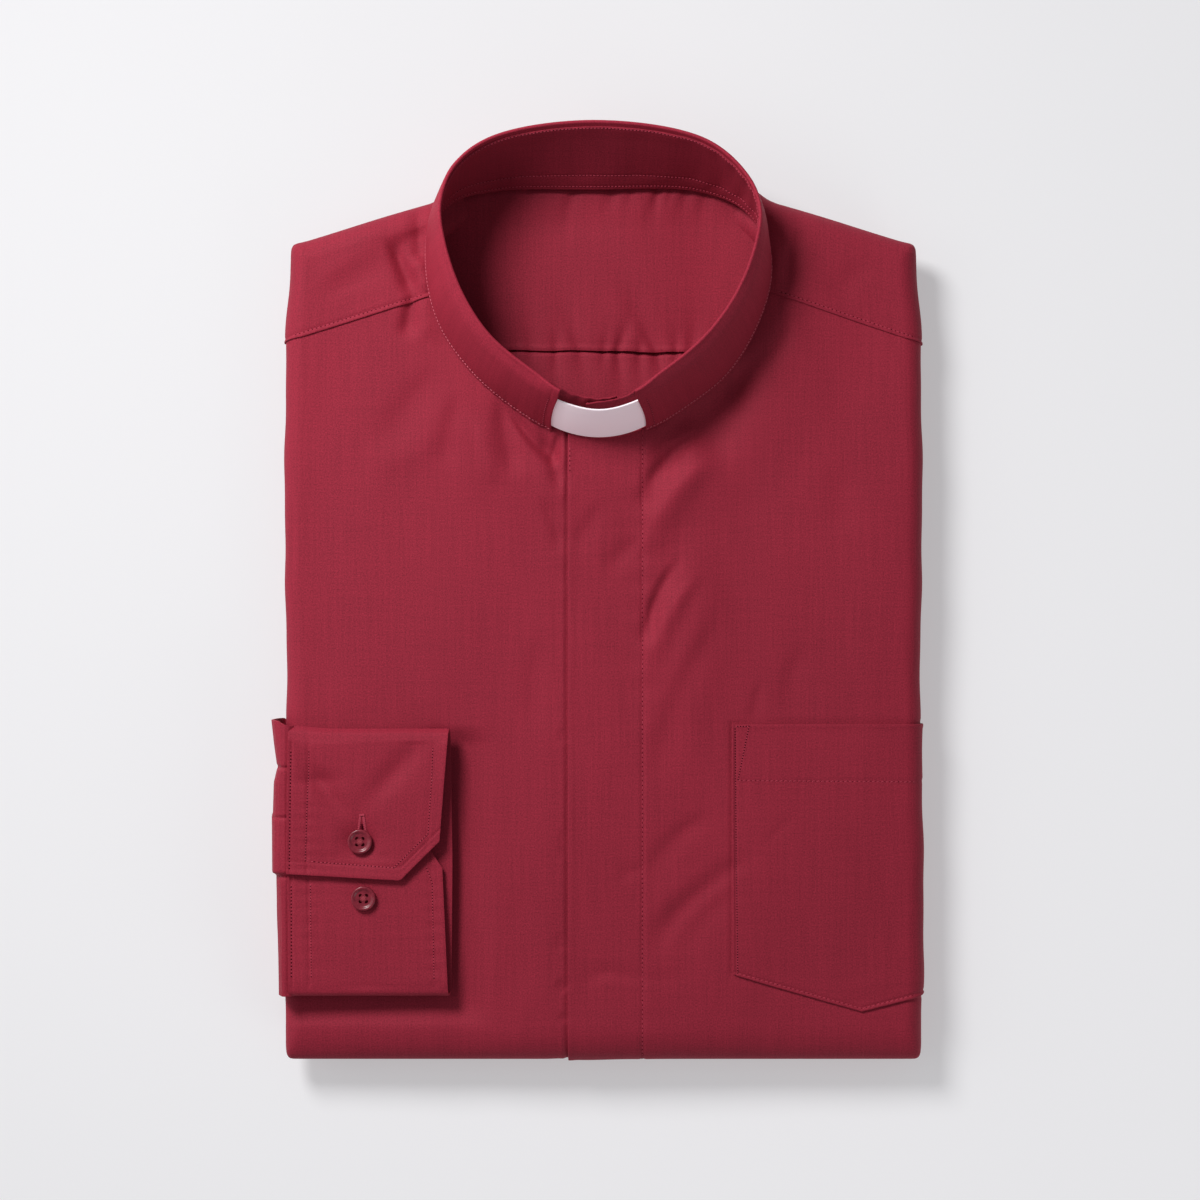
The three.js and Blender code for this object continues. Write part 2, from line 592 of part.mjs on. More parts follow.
// The buttoned cuff lies flat on the right front. The rows follow the middle of its cloth, from the cut
// corner of the end on top, over the far fold, along the under layer, and up to the end below.
const CUFF_WALL = 1.5;
const CUFF = [
  { y: -116, z: 31.5, seamX: -141.9, hemX: -73.1, end: "top" },
  { y: -86, z: 31.6, seamX: -141.5, hemX: -71.6 },
  { y: -64, z: 31.4, seamX: -141.1, hemX: -69.8 },
  { y: -59.6, z: 30.7, seamX: -141, hemX: -69.5 },
  { y: -57.8, z: 29.0, seamX: -141, hemX: -69.2 },
  { y: -59.4, z: 27.2, seamX: -141, hemX: -68.8 },
  { y: -64, z: 26.4, seamX: -141.4, hemX: -68.6 },
  { y: -118, z: 26.4, seamX: -142, hemX: -67.8 },
  { y: -171, z: 26.4, seamX: -141.4, hemX: -68.3 },
  { y: -175.8, z: 26.8, seamX: -141.2, hemX: -68.6 },
  { y: -177.4, z: 28.1, seamX: -141, hemX: -69.4 },
  { y: -175.8, z: 29.2, seamX: -141, hemX: -70 },
  { y: -171, z: 29.5, seamX: -141, hemX: -70.2 },
  { y: -148, z: 29.4, seamX: -141.2, hemX: -71.2 },
  { y: -110, z: 29.4, seamX: -141.6, hemX: -72.3, end: "under" },
];
const CUFF_CORNER = 0.745; // share of the cuff's depth where its cut corner starts
const CUFF_ENDS = {
  top: { seam: -122.3, corner: -125.2, hem: -107.8 },
  under: { seam: -103, corner: -103, hem: -120.9 },
};

function cuffEndY(end, share) {
  const { seam, corner, hem } = CUFF_ENDS[end];
  if (share < CUFF_CORNER) return mix(seam, corner, share / CUFF_CORNER);
  return mix(corner, hem, (share - CUFF_CORNER) / (1 - CUFF_CORNER));
}

function cuff() {
  const across = [0, 0.25, 0.5, CUFF_CORNER, 0.87, 1];
  const grid = CUFF.map(({ y, z, seamX, hemX, end }) =>
    across.map((share) => new THREE.Vector3(mix(seamX, hemX, share), end ? cuffEndY(end, share) : y, z)),
  );
  return wallGeometry(grid, { outer: CUFF_WALL / 2, inner: -CUFF_WALL / 2 });
}

// The sleeve, two layers flat together, comes round the side fold from underneath to the cuff's seam.
const SLEEVE_WALL = 1.8;
const SLEEVE_SECTION = [
  { x: -142.4, z: 29.2 },
  { x: -145, z: 28.7 },
  { x: -147.6, z: 26.4 },
  { x: -148.3, z: 20 },
  { x: -148.3, z: 11 },
  { x: -147.4, z: 5.4 },
  { x: -145.4, z: 2.4 },
  { x: -142.6, z: 1.4 },
];
// Pleats at the cuff step the sleeve's outline along its width.
const SLEEVE_EDGE = [
  { y: -177.6, out: -2.8 },
  { y: -150, out: -2.3 },
  { y: -123.6, out: -1.6 },
  { y: -122, out: -0.1 },
  { y: -97.2, out: 0.1 },
  { y: -95.6, out: -0.3 },
  { y: -82, out: -0.7 },
  { y: -74.6, out: -2.4 },
  { y: -73, out: -2.2 },
  { y: -64, out: -0.8 },
  { y: -54, out: 0.3 },
];

function sleeve() {
  const grid = SLEEVE_EDGE.map(({ y, out }) =>
    SLEEVE_SECTION.map(({ x, z }) => new THREE.Vector3(x - out * ease(-144, -147.5, x), y, z)),
  );
  return wallGeometry(grid, { outer: SLEEVE_WALL / 2, inner: -SLEEVE_WALL / 2 });
}

// ---- Buttons ----------------------------------------------------------------------------------------

function buttonGeometry() {
  const { radius, thickness, rim, holeRadius, holeOffset } = BUTTON;
  const profile = [
    [0, 0],
    [radius * 0.8, 0],
    [radius, thickness * 0.45],
    [radius - rim * 0.4, thickness],
    [radius - rim, thickness * 0.95],
    [radius - rim * 1.7, thickness * 0.68],
    [0, thickness * 0.64],
  ].map(([r, z]) => new THREE.Vector2(r, z));
  const disc = new THREE.LatheGeometry(profile, 24).rotateX(PI / 2);
  let solid = toManifold(disc);
  for (const sideX of [-1, 1]) {
    for (const sideY of [-1, 1]) {
      const hole = new THREE.CylinderGeometry(holeRadius, holeRadius, thickness * 4, 8).rotateX(PI / 2);
      hole.translate(sideX * holeOffset, sideY * holeOffset, 0);
      solid = solid.subtract(toManifold(hole));
    }
  }
  return fromManifold(solid);
}

const BUTTONS = [
  { name: "cuff_button_fastened", x: -107.9, y: -107.7, z: 32.7 },
  { name: "cuff_button_spare", x: -106.7, y: -133.4, z: 30.6 },
];

// ---- Assembly ---------------------------------------------------------------------------------------

const shirt = new THREE.Group();
shirt.add(
  clothMesh("folded_layers", foldedLayers()),
  clothMesh("front_right", rightFront()),
  clothMesh("front_left", leftFront()),
  clothMesh("placket", placket()),
  clothMesh("yoke", yoke()),
  clothMesh("yoke_inner", innerYoke()),
  clothMesh("back", back()),
  clothMesh("pocket", pocket()),
  clothMesh("collar_band_outer", outerBand()),
  clothMesh("collar_band_inner", innerBand()),
  clothMesh("collar_tab", tab(), TAB_WHITE, 0.35),
  clothMesh("cuff", cuff()),
  clothMesh("sleeve", sleeve()),
);
for (const { name, x, y, z } of BUTTONS) {
  const button = clothMesh(name, buttonGeometry(), BUTTON_RED, 0.3);
  button.position.set(x, y, z);
  shirt.add(button);
}

export default shirt;
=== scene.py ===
# %% [markdown]
# # A folded clergy shirt
# The shirt lies on its back, folded for the shelf, with its tab collar standing open. Everything here is
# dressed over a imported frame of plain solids, so the first cell loads that frame and keeps its box. Sizes
# below are in millimetres, as a cutter would write them, and become metres when a mesh is made.
# %% Load the frame
import math
import bpy
import numpy as np
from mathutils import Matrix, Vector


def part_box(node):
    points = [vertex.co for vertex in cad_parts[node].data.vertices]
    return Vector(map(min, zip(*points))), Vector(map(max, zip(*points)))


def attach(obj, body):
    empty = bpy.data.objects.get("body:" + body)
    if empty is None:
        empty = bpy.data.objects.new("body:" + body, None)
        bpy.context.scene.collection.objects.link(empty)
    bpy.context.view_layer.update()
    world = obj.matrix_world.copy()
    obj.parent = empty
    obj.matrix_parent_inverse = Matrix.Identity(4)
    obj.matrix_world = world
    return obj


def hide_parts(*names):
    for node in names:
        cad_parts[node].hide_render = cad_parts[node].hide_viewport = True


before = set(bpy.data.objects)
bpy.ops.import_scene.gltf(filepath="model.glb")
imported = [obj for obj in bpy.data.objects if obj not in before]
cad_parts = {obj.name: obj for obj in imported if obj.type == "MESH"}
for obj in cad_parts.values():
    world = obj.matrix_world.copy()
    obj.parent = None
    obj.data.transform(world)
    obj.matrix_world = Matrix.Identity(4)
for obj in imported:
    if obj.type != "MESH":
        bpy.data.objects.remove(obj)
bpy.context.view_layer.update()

MM = 0.001
print("frame nodes:", sorted(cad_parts))

# %% [markdown]
# ## Small helpers
# Folded cloth is all gentle changes, so two helpers do most of the work: one mixes two values, the other
# rises smoothly from 0 to 1. Operators act on whatever is selected, so each step starts by clearing that.
# %% Helpers
def mix(a, b, share):
    return a + (b - a) * share


def ease(start, end, value):
    share = np.clip((value - start) / (end - start), 0, 1)
    return share * share * (3 - 2 * share)


def bump(value, centre, width):
    return np.exp(-(((value - centre) / width) ** 2))


def clear_selection():
    if bpy.context.object and bpy.context.object.mode != "OBJECT":
        bpy.ops.object.mode_set(mode="OBJECT")
    bpy.ops.object.select_all(action="DESELECT")


def box_mm(node):
    low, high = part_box(node)
    return [v / MM for v in low], [v / MM for v in high]


print("a quarter of the way, a soft change has risen by", round(float(ease(0, 1, 0.25)), 3))

# %% [markdown]
# ## The body's sizes
# The body is a flat bundle whose edges roll under. The side folds lie at a fixed half width, and the lowest
# edge of the frame's left front gives the fold across the tail.
# %% Driving sizes
SIDE_ROLL = 8.0
TAIL_ROLL = 16.0
SHOULDER_ROLL = 10.0
NECK_ROLL = 4.5
TUCK = 60.0
CORNER_POWER = 7
BODY_TOP = 25.0
HALF_WIDTH = 144.0
FOLD_Z, TUCKED_Z = 15.5, 7.0
NECK_SINK, NECK_FOLD_Z, NECK_TUCKED_Z = 11.5, 8.0, 3.5
WELL_X, WELL_Y = -2.0, 132.0
TAIL_Y = round(box_mm("front_left")[0][1])
FLAT_EDGE = HALF_WIDTH - SIDE_ROLL
PLACKET_LEFT, PLACKET_RIGHT = -16.0, 17.6
YOKE_SEAM_Y = 113.1
print("tail fold at", TAIL_Y, "mm, collar top at", round(box_mm("collar_band_outer")[1][2], 1), "mm")

# %% [markdown]
# ## Creases
# A pressed shirt is never quite flat. Cloth pulls away from the collar and the placket in long soft troughs,
# because the body was folded under tension there. Each row is one crease: a line across the flat, how far
# its middle bows sideways, its height (below zero for a trough) and its half width. A simulation would give
# creases too, but not these, so they are listed one by one.
# %% Crease table
CREASE_DEPTH = 2.0
CREASES = [
    # x and y where it starts, x and y where it ends, bow, rise, half width
    # from the collar down to the placket, on the wearer's left
    (66, 104, 42, 70, 2, -3.0, 9.5),
    (45, 76, 18, 47, 3, -1.3, 3.8),
    (42, 88, 24, 62, 1, -1.7, 6.0),
    (46, 62, 19, 24, 3, 1.1, 6.0),
    (42, 24, 33, -60, 0, 0.95, 13.0),
    (60, 100, 60, 84, 0, -0.5, 2.8),
    (82, 128, 64, 104, -5, -0.8, 4.5),
    (32, 16, 19, -17, 2, -0.9, 3.0),
    (39, 8, 19, -33, 2, 0.6, 4.5),
    (44, 8, 30, -26, 2, -0.35, 4.5),
    (50, -12, 24, -76, 3, -0.5, 6.0),
    (45, -98, 21, -124, 3, -0.5, 5.0),
    (62, -118, 22, -158, 5, -0.8, 4.6),
    (54, -122, 24, -142, 2, 0.4, 5.0),
    (58, -132, 34, -160, 2, -0.3, 5.0),
    (106, 58, 108, 32, 0, -0.3, 8.0),
    (88, -24, 84, -50, 2, -0.35, 5.0),
    (70, -38, 67, -54, 0, -0.25, 2.6),
    # across the placket
    (18, 28, 2, 12, 2, -0.4, 3.6),
    (-1, 43, -13, 23, 0, -0.35, 4.5),
    (18, -121, 7, -124, 0, -0.25, 3.0),
    (-2, -167, 36, -171, 1, -0.3, 3.6),
    (4, -166, -10, -172, 0, -0.25, 4.0),
    # from the collar on the wearer's right
    (-41, 84, -24, 64, 1, -1.5, 2.6),
    (-46, 90, -40, 58, 1, -1.1, 5.0),
    (-30, 84, -24, 62, 0, -0.6, 4.0),
    (-56, 80, -50, 54, 0, 0.5, 4.2),
    (-66, 90, -73, 62, 0, -0.6, 5.0),
    (-76, 102, -99, 70, 1, -0.5, 8.0),
    (-27, 76, -19, 50, 0, -1.0, 3.6),
    (-20, 75, -23.5, 61, 0, -0.8, 2.0),
    (-27, 44, -19, 24, -1, -0.5, 3.6),
    (-30, -20, -31, -56, 1, -0.3, 6.0),
    (-38, -130, -36, -176, 1, -0.25, 8.0),
    (-104, 60, -60, 84, 3, 0.3, 9.0),
    # over the shoulder on the wearer's right
    (-80, 172, -94, 157, -1, -0.7, 4.6),
    (-83.5, 168, -83, 152, 0, -0.9, 3.0),
    (-95.5, 160, -86, 138, 0, -1.8, 3.3),
    (-85.5, 138, -89, 119, 0, -1.3, 3.4),
    (-84, 154, -80, 139, 0, 0.8, 3.0),
    (-83, 136, -78, 118, 0, 0.5, 5.0),
    (-131, 144, -101, 163, 0, 0.25, 6.0),
    (-126, 138, -98, 150, 0, -0.22, 5.0),
    # along the placket's free edge
    (-19, -58, -18, -64, 0, -0.2, 2.6),
    (-19, -104, -18, -116, 0, -0.2, 2.2),
    (-20, -150, -19, -158, 0, -0.2, 2.8),
    (-21, -172, -17, -176, 0, -0.35, 2.6),
    (-18.5, -186, -18, -190, 0, -0.25, 2.2),
    # shoulder on the wearer's left
    (87, 164, 84, 136, 2, -0.8, 4.0),
    (74, 158, 76, 140, 0, -0.4, 2.2),
    (120, 150, 104, 134, 2, -0.3, 5.0),
]
print(len(CREASES), "creases placed by hand")

# %% [markdown]
# ## From the table to a height
# Each crease is a bell across its line. It fades at both ends, and one flank is steeper than the other, as on
# cloth that was pulled from one side. Under all of them lies a slow unevenness, so that no part is quite flat.
# %% Crease height
def crease_height(x, y):
    """The sum of all creases at points of the flat."""
    height = np.zeros(np.broadcast(x, y).shape)
    for x1, y1, x2, y2, bow, rise, wide in CREASES:
        length = math.hypot(x2 - x1, y2 - y1)
        ux, uy = (x2 - x1) / length, (y2 - y1) / length
        along = ((x - x1) * ux + (y - y1) * uy) / length
        aside = (x - x1) * uy - (y - y1) * ux
        aside = aside - bow * 4 * np.clip(along, 0, 1) * (1 - np.clip(along, 0, 1))
        ends = ease(-0.18, 0.3, along) * ease(1.16, 0.72, along)
        fade = wide * mix(0.8, 1.25, np.clip(along, 0, 1)) * np.where(aside * (ux - uy) > 0, 0.8, 1.15)
        height = height + CREASE_DEPTH * rise * ends * np.exp(-((aside / fade) ** 2))
    return height


def lie(x, y):
    """The slow unevenness of cloth that was smoothed by hand."""
    return (
        0.6 * np.sin(x / 17 + 0.8 * np.sin(y / 47)) * np.sin(y / 38 + 1.3)
        + 0.26 * np.sin(x / 8.5 + y / 31 + 2.0) * np.sin(y / 22 - x / 60)
        + 0.07 * np.sin(x / 4.1 + 2.2 * np.sin(y / 19)) * np.sin(y / 17 + x / 13)
        + 2.0 * (1 - (x / FLAT_EDGE) ** 2) - 1.0
    )


print("deepest crease", CREASE_DEPTH * min(crease[5] for crease in CREASES), "mm")

# %% [markdown]
# ## The surface of the folded body
# Fronts, yoke, placket and pocket are all cut from one surface, as they would lie on one bundle. Its top
# rises a little toward the collar, is pressed down beside the cuff, and drops behind the neck. The lines of
# the shoulder fold and of the yoke's seam are given here too, because several pieces end on them.
# %% Body surface
def neck_drop(x, y):
    return (1 - ease(46, 84, np.abs(x))) * ease(145, 175, y)


def shoulder_y(x):
    shoulder = 179.5 - 0.29 * np.maximum(0, np.abs(x) - 77)
    return mix(shoulder, 192, ease(79, 58, np.abs(x)))


def yoke_seam_y(x):
    return np.where(x < 0, 136 - 0.31 * (-x - 79), 138 - 0.33 * (x - 75))


def side_shift(y):
    wander = 0.5 * np.sin(y / 31) + 0.22 * np.sin(y / 9.3 + 1.2) + 0.12 * np.sin(y / 4.7)
    return -2.4 * ease(112, 162, y) + wander * ease(-200, -170, y)


def body_top(x, y):
    to_collar = np.hypot(x - WELL_X, (y - WELL_Y) * 1.1)
    lift = 1.8 * ease(125, 80, to_collar) * ease(165, 130, y)
    beside = ease(-47, -66, x) * ease(-86, -71, x) * ease(-56, -66, y)
    below = ease(-58, -68, x) * ease(-162, -177, y)
    by_cuff = 3.2 * np.maximum(beside, below) * ease(-198, -182, y)
    return BODY_TOP + lift + crease_height(x, y) + lie(x, y) - by_cuff - NECK_SINK * neck_drop(x, y)


print("chest at", round(float(body_top(0.0, 0.0)), 1), "mm above the table")

# %% [markdown]
# ## Edges that roll under
# A point of the surface has a place on the flat and a share of the roll over each edge: 0 on the flat, 1
# where the cloth ends underneath and 2 at the table. One section, out and down, serves every edge. Where two
# edges meet, a high power keeps the corner nearly square, as a folded corner is.
# %% Rolled edges
LAYER_EDGES = np.array([
    # how far out and how high the edges of the layers lie, from the fold down to the table
    (-0.1, 1.08), (0.3, 1.0), (0.58, 0.8), (0.36, 0.58), (0.52, 0.38), (0.46, 0.16), (0.3, 0),
])


def beyond(x, roll_x):
    """Where a column over a side fold would lie on the flat, so that slanting lines run on over the fold."""
    return x + np.clip(roll_x * 1.6, -1, 1) * SIDE_ROLL


def end_roll(x, at_shoulder):
    drop = np.where(at_shoulder, neck_drop(x, 180.0), 0.0)
    radius = np.where(at_shoulder, mix(SHOULDER_ROLL, NECK_ROLL, drop), TAIL_ROLL)
    start = np.where(at_shoulder, shoulder_y(x) - radius, TAIL_Y + radius)
    return radius, start, mix(FOLD_Z, NECK_FOLD_Z, drop), mix(TUCKED_Z, NECK_TUCKED_Z, drop)


def body_height(x, y):
    radius, start, middle, _ = end_roll(x, True)
    over = np.clip((y - start) / radius, 0, 1)
    return middle + (body_top(x, np.minimum(y, start)) - middle) * np.sqrt(1 - over**2)


def roll_section(reach, top, middle, tucked):
    """How far out and how high the section of a rolled edge is."""
    angle = np.radians(90 - np.minimum(reach, 1) * (90 + TUCK))
    out = np.cos(angle)
    z = middle + np.where(np.sin(angle) > 0, top - middle, middle - tucked) * np.sin(angle)
    steps = np.linspace(1, 2, len(LAYER_EDGES) + 1)
    first_out = math.cos(math.radians(TUCK))
    below_out = np.interp(reach, steps, np.concatenate([[first_out], LAYER_EDGES[:, 0]]))
    below_high = np.interp(reach, steps, np.concatenate([[1.16], LAYER_EDGES[:, 1]]))
    return np.where(reach <= 1, out, below_out), np.where(reach <= 1, z, tucked * below_high)


def body_point(x, y, roll_x, roll_y, most=1.0):
    x, y, roll_x, roll_y = np.broadcast_arrays(x, y, roll_x, roll_y)
    spread_x = np.abs(roll_x) / most * np.sqrt(1 - (roll_y / most) ** 2 / 2)
    spread_y = np.abs(roll_y) / most * np.sqrt(1 - (roll_x / most) ** 2 / 2)
    reach = most * np.hypot(spread_x, spread_y)
    safe = np.where(reach > 0, reach, 1)
    heading_x, heading_y = spread_x * most / safe, spread_y * most / safe
    corner = heading_x**CORNER_POWER + heading_y**CORNER_POWER
    square = np.where(corner > 0, corner, 1) ** (-1 / CORNER_POWER)
    flat_x = np.where(roll_x != 0, np.sign(roll_x) * FLAT_EDGE, x)
    radius, start, middle, tucked = end_roll(beyond(flat_x, roll_x), np.where(roll_y != 0, roll_y, y) > 0)
    flat_y = np.where(roll_y != 0, start, y)
    out, z = roll_section(reach, body_top(flat_x, flat_y), middle, tucked)
    px = flat_x + np.sign(roll_x) * SIDE_ROLL * out * heading_x * square
    py = flat_y + np.sign(roll_y) * radius * out * heading_y * square
    px = px + np.sign(px) * side_shift(py) * ease(90, 140, np.abs(px))
    return np.stack([px, py, z], axis=-1)


print("half way round, the side fold is at", np.round(body_point(0.0, 0.0, 0.5, 0.0), 1), "mm")

# %% [markdown]
# ## Rows and columns
# A cut piece of cloth is a sheet, so each one is a grid of points on the body's surface. Rows and columns are
# close together near an edge, where the seam allowance and the stitching shape the cloth, and wider apart in
# the middle, which keeps the mesh light.
# %% Grid tools
def spaced(start, end, step=1.5, fine=0.55, edge=5.0, ends=(True, True), marks=()):
    """Positions from start to end: every fine near the ends and the marks, every step elsewhere."""
    length = abs(end - start)
    close = [0.0] * ends[0] + [length] * ends[1]
    seams = [abs(mark - start) for mark in marks]
    places = [0.0]
    while places[-1] < length:
        here = places[-1]
        near = min([abs(here - c) for c in close] + [abs(here - m) * edge / 2.2 for m in seams] + [length])
        places.append(here + mix(fine, step, float(ease(edge * 0.5, edge * 1.4, near))))
    places = np.array(places) * (length / places[-1])
    return start + places * (1 if end > start else -1)


def grid_normals(points):
    across = np.gradient(points, axis=1)
    along = np.gradient(points, axis=0)
    normals = np.cross(across, along)
    return normals / np.maximum(np.linalg.norm(normals, axis=-1, keepdims=True), 1e-9)


def moved_out(points, depth):
    return points + grid_normals(points) * np.broadcast_to(depth, points.shape[:2])[..., None]


def run_length(points, axis):
    steps = np.linalg.norm(np.diff(points, axis=axis), axis=-1)
    start = np.zeros_like(np.take(steps, [0], axis=axis))
    return np.cumsum(np.concatenate([start, steps], axis=axis), axis=axis)


print("a strip 20 mm wide gets", len(spaced(0, 20)), "columns")

# %% [markdown]
# ## From points to a piece of cloth
# The sheet is a grid primitive whose points are moved. Solidify gives it its thickness and Bevel rounds the
# folded edges. The UV map holds real distances along the cloth, so that the weave follows it. The points are
# kept under the piece's name, because the stitching is laid along them later.
# %% Cut a piece
CLOTH = {}


def apply_modifier(piece, kind, **settings):
    """Puts a modifier on the active piece and applies it."""
    modifier = piece.modifiers.new(kind.lower(), kind)
    for setting, value in settings.items():
        setattr(modifier, setting, value)
    bpy.ops.object.modifier_apply(modifier=modifier.name)


def grid_piece(name, points):
    """A grid primitive moved onto points, given as rows, columns and x, y, z."""
    rows, columns = points.shape[:2]
    clear_selection()
    bpy.ops.mesh.primitive_grid_add(x_subdivisions=columns - 1, y_subdivisions=rows - 1, size=1)
    piece = bpy.context.object
    piece.name = piece.data.name = name
    piece.data.vertices.foreach_set("co", (points * MM).reshape(-1))
    piece.data.update()
    return piece


def cloth_piece(name, points, wall, edge=0.3, material=None, level=0):
    """A sheet with a wall and rounded edges, whose weft runs straight across at the row called level."""
    piece = grid_piece(name, points)
    mesh = piece.data
    across = run_length(points, 1)[len(points) // 2]
    along = run_length(points, 0)
    along = along - along[level] + along[level].mean()
    uv = np.stack([np.broadcast_to(across, along.shape), along], axis=-1).reshape(-1, 2) * MM
    corner_vertex = np.empty(len(mesh.loops), dtype=np.int32)
    mesh.loops.foreach_get("vertex_index", corner_vertex)
    mesh.uv_layers[0].name = "cloth"
    mesh.uv_layers[0].data.foreach_set("uv", uv[corner_vertex].reshape(-1))
    mesh.update()
    apply_modifier(piece, "SOLIDIFY", thickness=wall * MM, offset=-1)
    if edge:
        apply_modifier(piece, "BEVEL", width=edge * MM, segments=2, limit_method="ANGLE",
                       angle_limit=math.radians(62))
    bpy.ops.object.shade_smooth()
    if material:
        piece.data.materials.clear()
        piece.data.materials.append(material)
    CLOTH[name] = points
    print(f"{name}: {points.shape[0]} x {points.shape[1]} grid, {len(piece.data.polygons)} faces")
    return piece


def dress(piece, nodes):
    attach(piece, "root")
    if nodes:
        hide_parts(*nodes)


# %% [markdown]
# ## Finishes from nodes
# Each finish is a Principled shader with a few nodes in front of it: a noise for what varies, a ramp that
# turns it into two tones, and a bump for what can be felt. So a helper for each serves every finish here.
# %% Shader helpers
def new_material(name):
    material = bpy.data.materials.new(name)
    material.use_nodes = True
    tree = material.node_tree
    tree.nodes.clear()
    output = tree.nodes.new("ShaderNodeOutputMaterial")
    shader = tree.nodes.new("ShaderNodeBsdfPrincipled")
    tree.links.new(shader.outputs["BSDF"], output.inputs["Surface"])
    return material, tree, shader


def linear(red, green, blue):
    """A colour from screen values, 0 to 255, as the shader wants it."""
    parts = [v / 255 for v in (red, green, blue)]
    return tuple(v / 12.92 if v <= 0.04045 else ((v + 0.055) / 1.055) ** 2.4 for v in parts) + (1.0,)


def set_sockets(node, **values):
    """Constants on a node's own sockets, with _ for a space, such as Base_Color."""
    for socket, value in values.items():
        node.inputs[socket.replace("_", " ")].default_value = value


def object_place(tree):
    return tree.nodes.new("ShaderNodeTexCoord").outputs["Object"]


def noise_on(tree, vector, **settings):
    noise = tree.nodes.new("ShaderNodeTexNoise")
    set_sockets(noise, **settings)
    tree.links.new(vector, noise.inputs["Vector"])
    return noise.outputs["Fac"]


def two_tones(tree, value, shader, low, high, start=0.0, end=1.0):
    """A ramp from low to high that becomes the shader's base colour."""
    ramp = tree.nodes.new("ShaderNodeValToRGB")
    stops = ramp.color_ramp.elements
    stops[0].position, stops[1].position = start, end
    stops[0].color, stops[1].color = low, high
    tree.links.new(value, ramp.inputs["Fac"])
    tree.links.new(ramp.outputs["Color"], shader.inputs["Base Color"])


def relief_on(tree, height, shader, strength, distance):
    relief = tree.nodes.new("ShaderNodeBump")
    set_sockets(relief, Strength=strength, Distance=distance)
    tree.links.new(height, relief.inputs["Height"])
    tree.links.new(relief.outputs["Normal"], shader.inputs["Normal"])


print("screen value 128 is", round(linear(128, 128, 128)[0], 3), "to the shader")

# %% [markdown]
# ## Poplin, thread by thread
# Clergy shirts are poplin: a fine plain weave, matt with a soft bloom where it turns away. Crossing waves
# alone would make every thread alike, so noise drawn out along warp and weft gives uneven threads, a finer
# noise gives the grain, and slow patches vary the dye. The two crossed waves only add to the relief. All of
# it reads the cloth's own UV map. The collar and the lining are lit and shaded copies of the same cloth: the
# collar's is painted a shade lighter, painted light on the band's outside, which the window light barely
# reaches, and the lining's a shade darker, painted shade inside the band.
# %% Poplin material
def stretched_noise(tree, vector, repeats, detail, roughness=0.5):
    """Noise drawn out along one thread direction, by its repeats for each metre in u and in v."""
    mapping = tree.nodes.new("ShaderNodeMapping")
    set_sockets(mapping, Scale=(*repeats, 1))
    tree.links.new(vector, mapping.inputs["Vector"])
    return noise_on(tree, mapping.outputs["Vector"], Scale=1.0, Detail=detail, Roughness=roughness)


def combined(tree, operation, value, other):
    """Two values put together, or a value and a number."""
    node = tree.nodes.new("ShaderNodeMath")
    node.operation = operation
    tree.links.new(value, node.inputs[0])
    if isinstance(other, (int, float)):
        node.inputs[1].default_value = other
    else:
        tree.links.new(other, node.inputs[1])
    return node.outputs["Value"]


def blend(tree, one, one_share, other, other_share):
    return combined(tree, "ADD", combined(tree, "MULTIPLY", one, one_share),
                    combined(tree, "MULTIPLY", other, other_share))


def poplin(name, shade=1.0):
    material, tree, shader = new_material(name)
    uv = tree.nodes.new("ShaderNodeUVMap")
    uv.uv_map = "cloth"
    cloth_uv = uv.outputs["UV"]
    warp = stretched_noise(tree, cloth_uv, (900, 26), 3.0, 0.6)
    weft = stretched_noise(tree, cloth_uv, (30, 800), 3.0, 0.6)
    grain = stretched_noise(tree, cloth_uv, (1550, 1400), 1.0, 0.6)
    patches = stretched_noise(tree, cloth_uv, (13, 9), 2.0)
    slow = blend(tree, blend(tree, warp, 1.3, weft, 0.7), 0.18, patches, 0.16)
    tone = combined(tree, "ADD", slow, combined(tree, "MULTIPLY", grain, 0.62))
    # shade above 1 paints the cloth lighter and below 1 darker: painted light and painted shade on copies of it
    deep, pale = (linear(*[v * shade for v in colour]) for colour in ((115, 27, 43), (167, 44, 64)))
    two_tones(tree, tone, shader, deep, pale, 0.34, 0.8)

    waves = []
    for direction in ("X", "Y"):
        wave = tree.nodes.new("ShaderNodeTexWave")
        wave.bands_direction = direction
        set_sockets(wave, Scale=900, Distortion=0.6, Detail=1.0)
        tree.links.new(cloth_uv, wave.inputs["Vector"])
        waves.append(wave.outputs["Fac"])
    crossing = combined(tree, "MULTIPLY", *waves)
    weave = combined(tree, "ADD", combined(tree, "MULTIPLY", crossing, 0.35), tone)
    relief_on(tree, weave, shader, strength=0.4, distance=0.00015)
    set_sockets(shader, Roughness=0.7, Specular_IOR_Level=0.3, Specular_Tint=linear(255, 190, 200),
                Sheen_Weight=0.06, Sheen_Roughness=0.5, Sheen_Tint=linear(225, 90, 110))
    return material


shirt_poplin = poplin("shirt_poplin")
# The collar's copy is painted lighter (painted light) and the lining's copy darker (painted shade).
collar_poplin_painted_light = poplin("collar_poplin_painted_light", 1.06)
lining_poplin_painted_shade = poplin("lining_poplin_painted_shade", 0.97)
print("poplin:", shirt_poplin.name, collar_poplin_painted_light.name, lining_poplin_painted_shade.name)

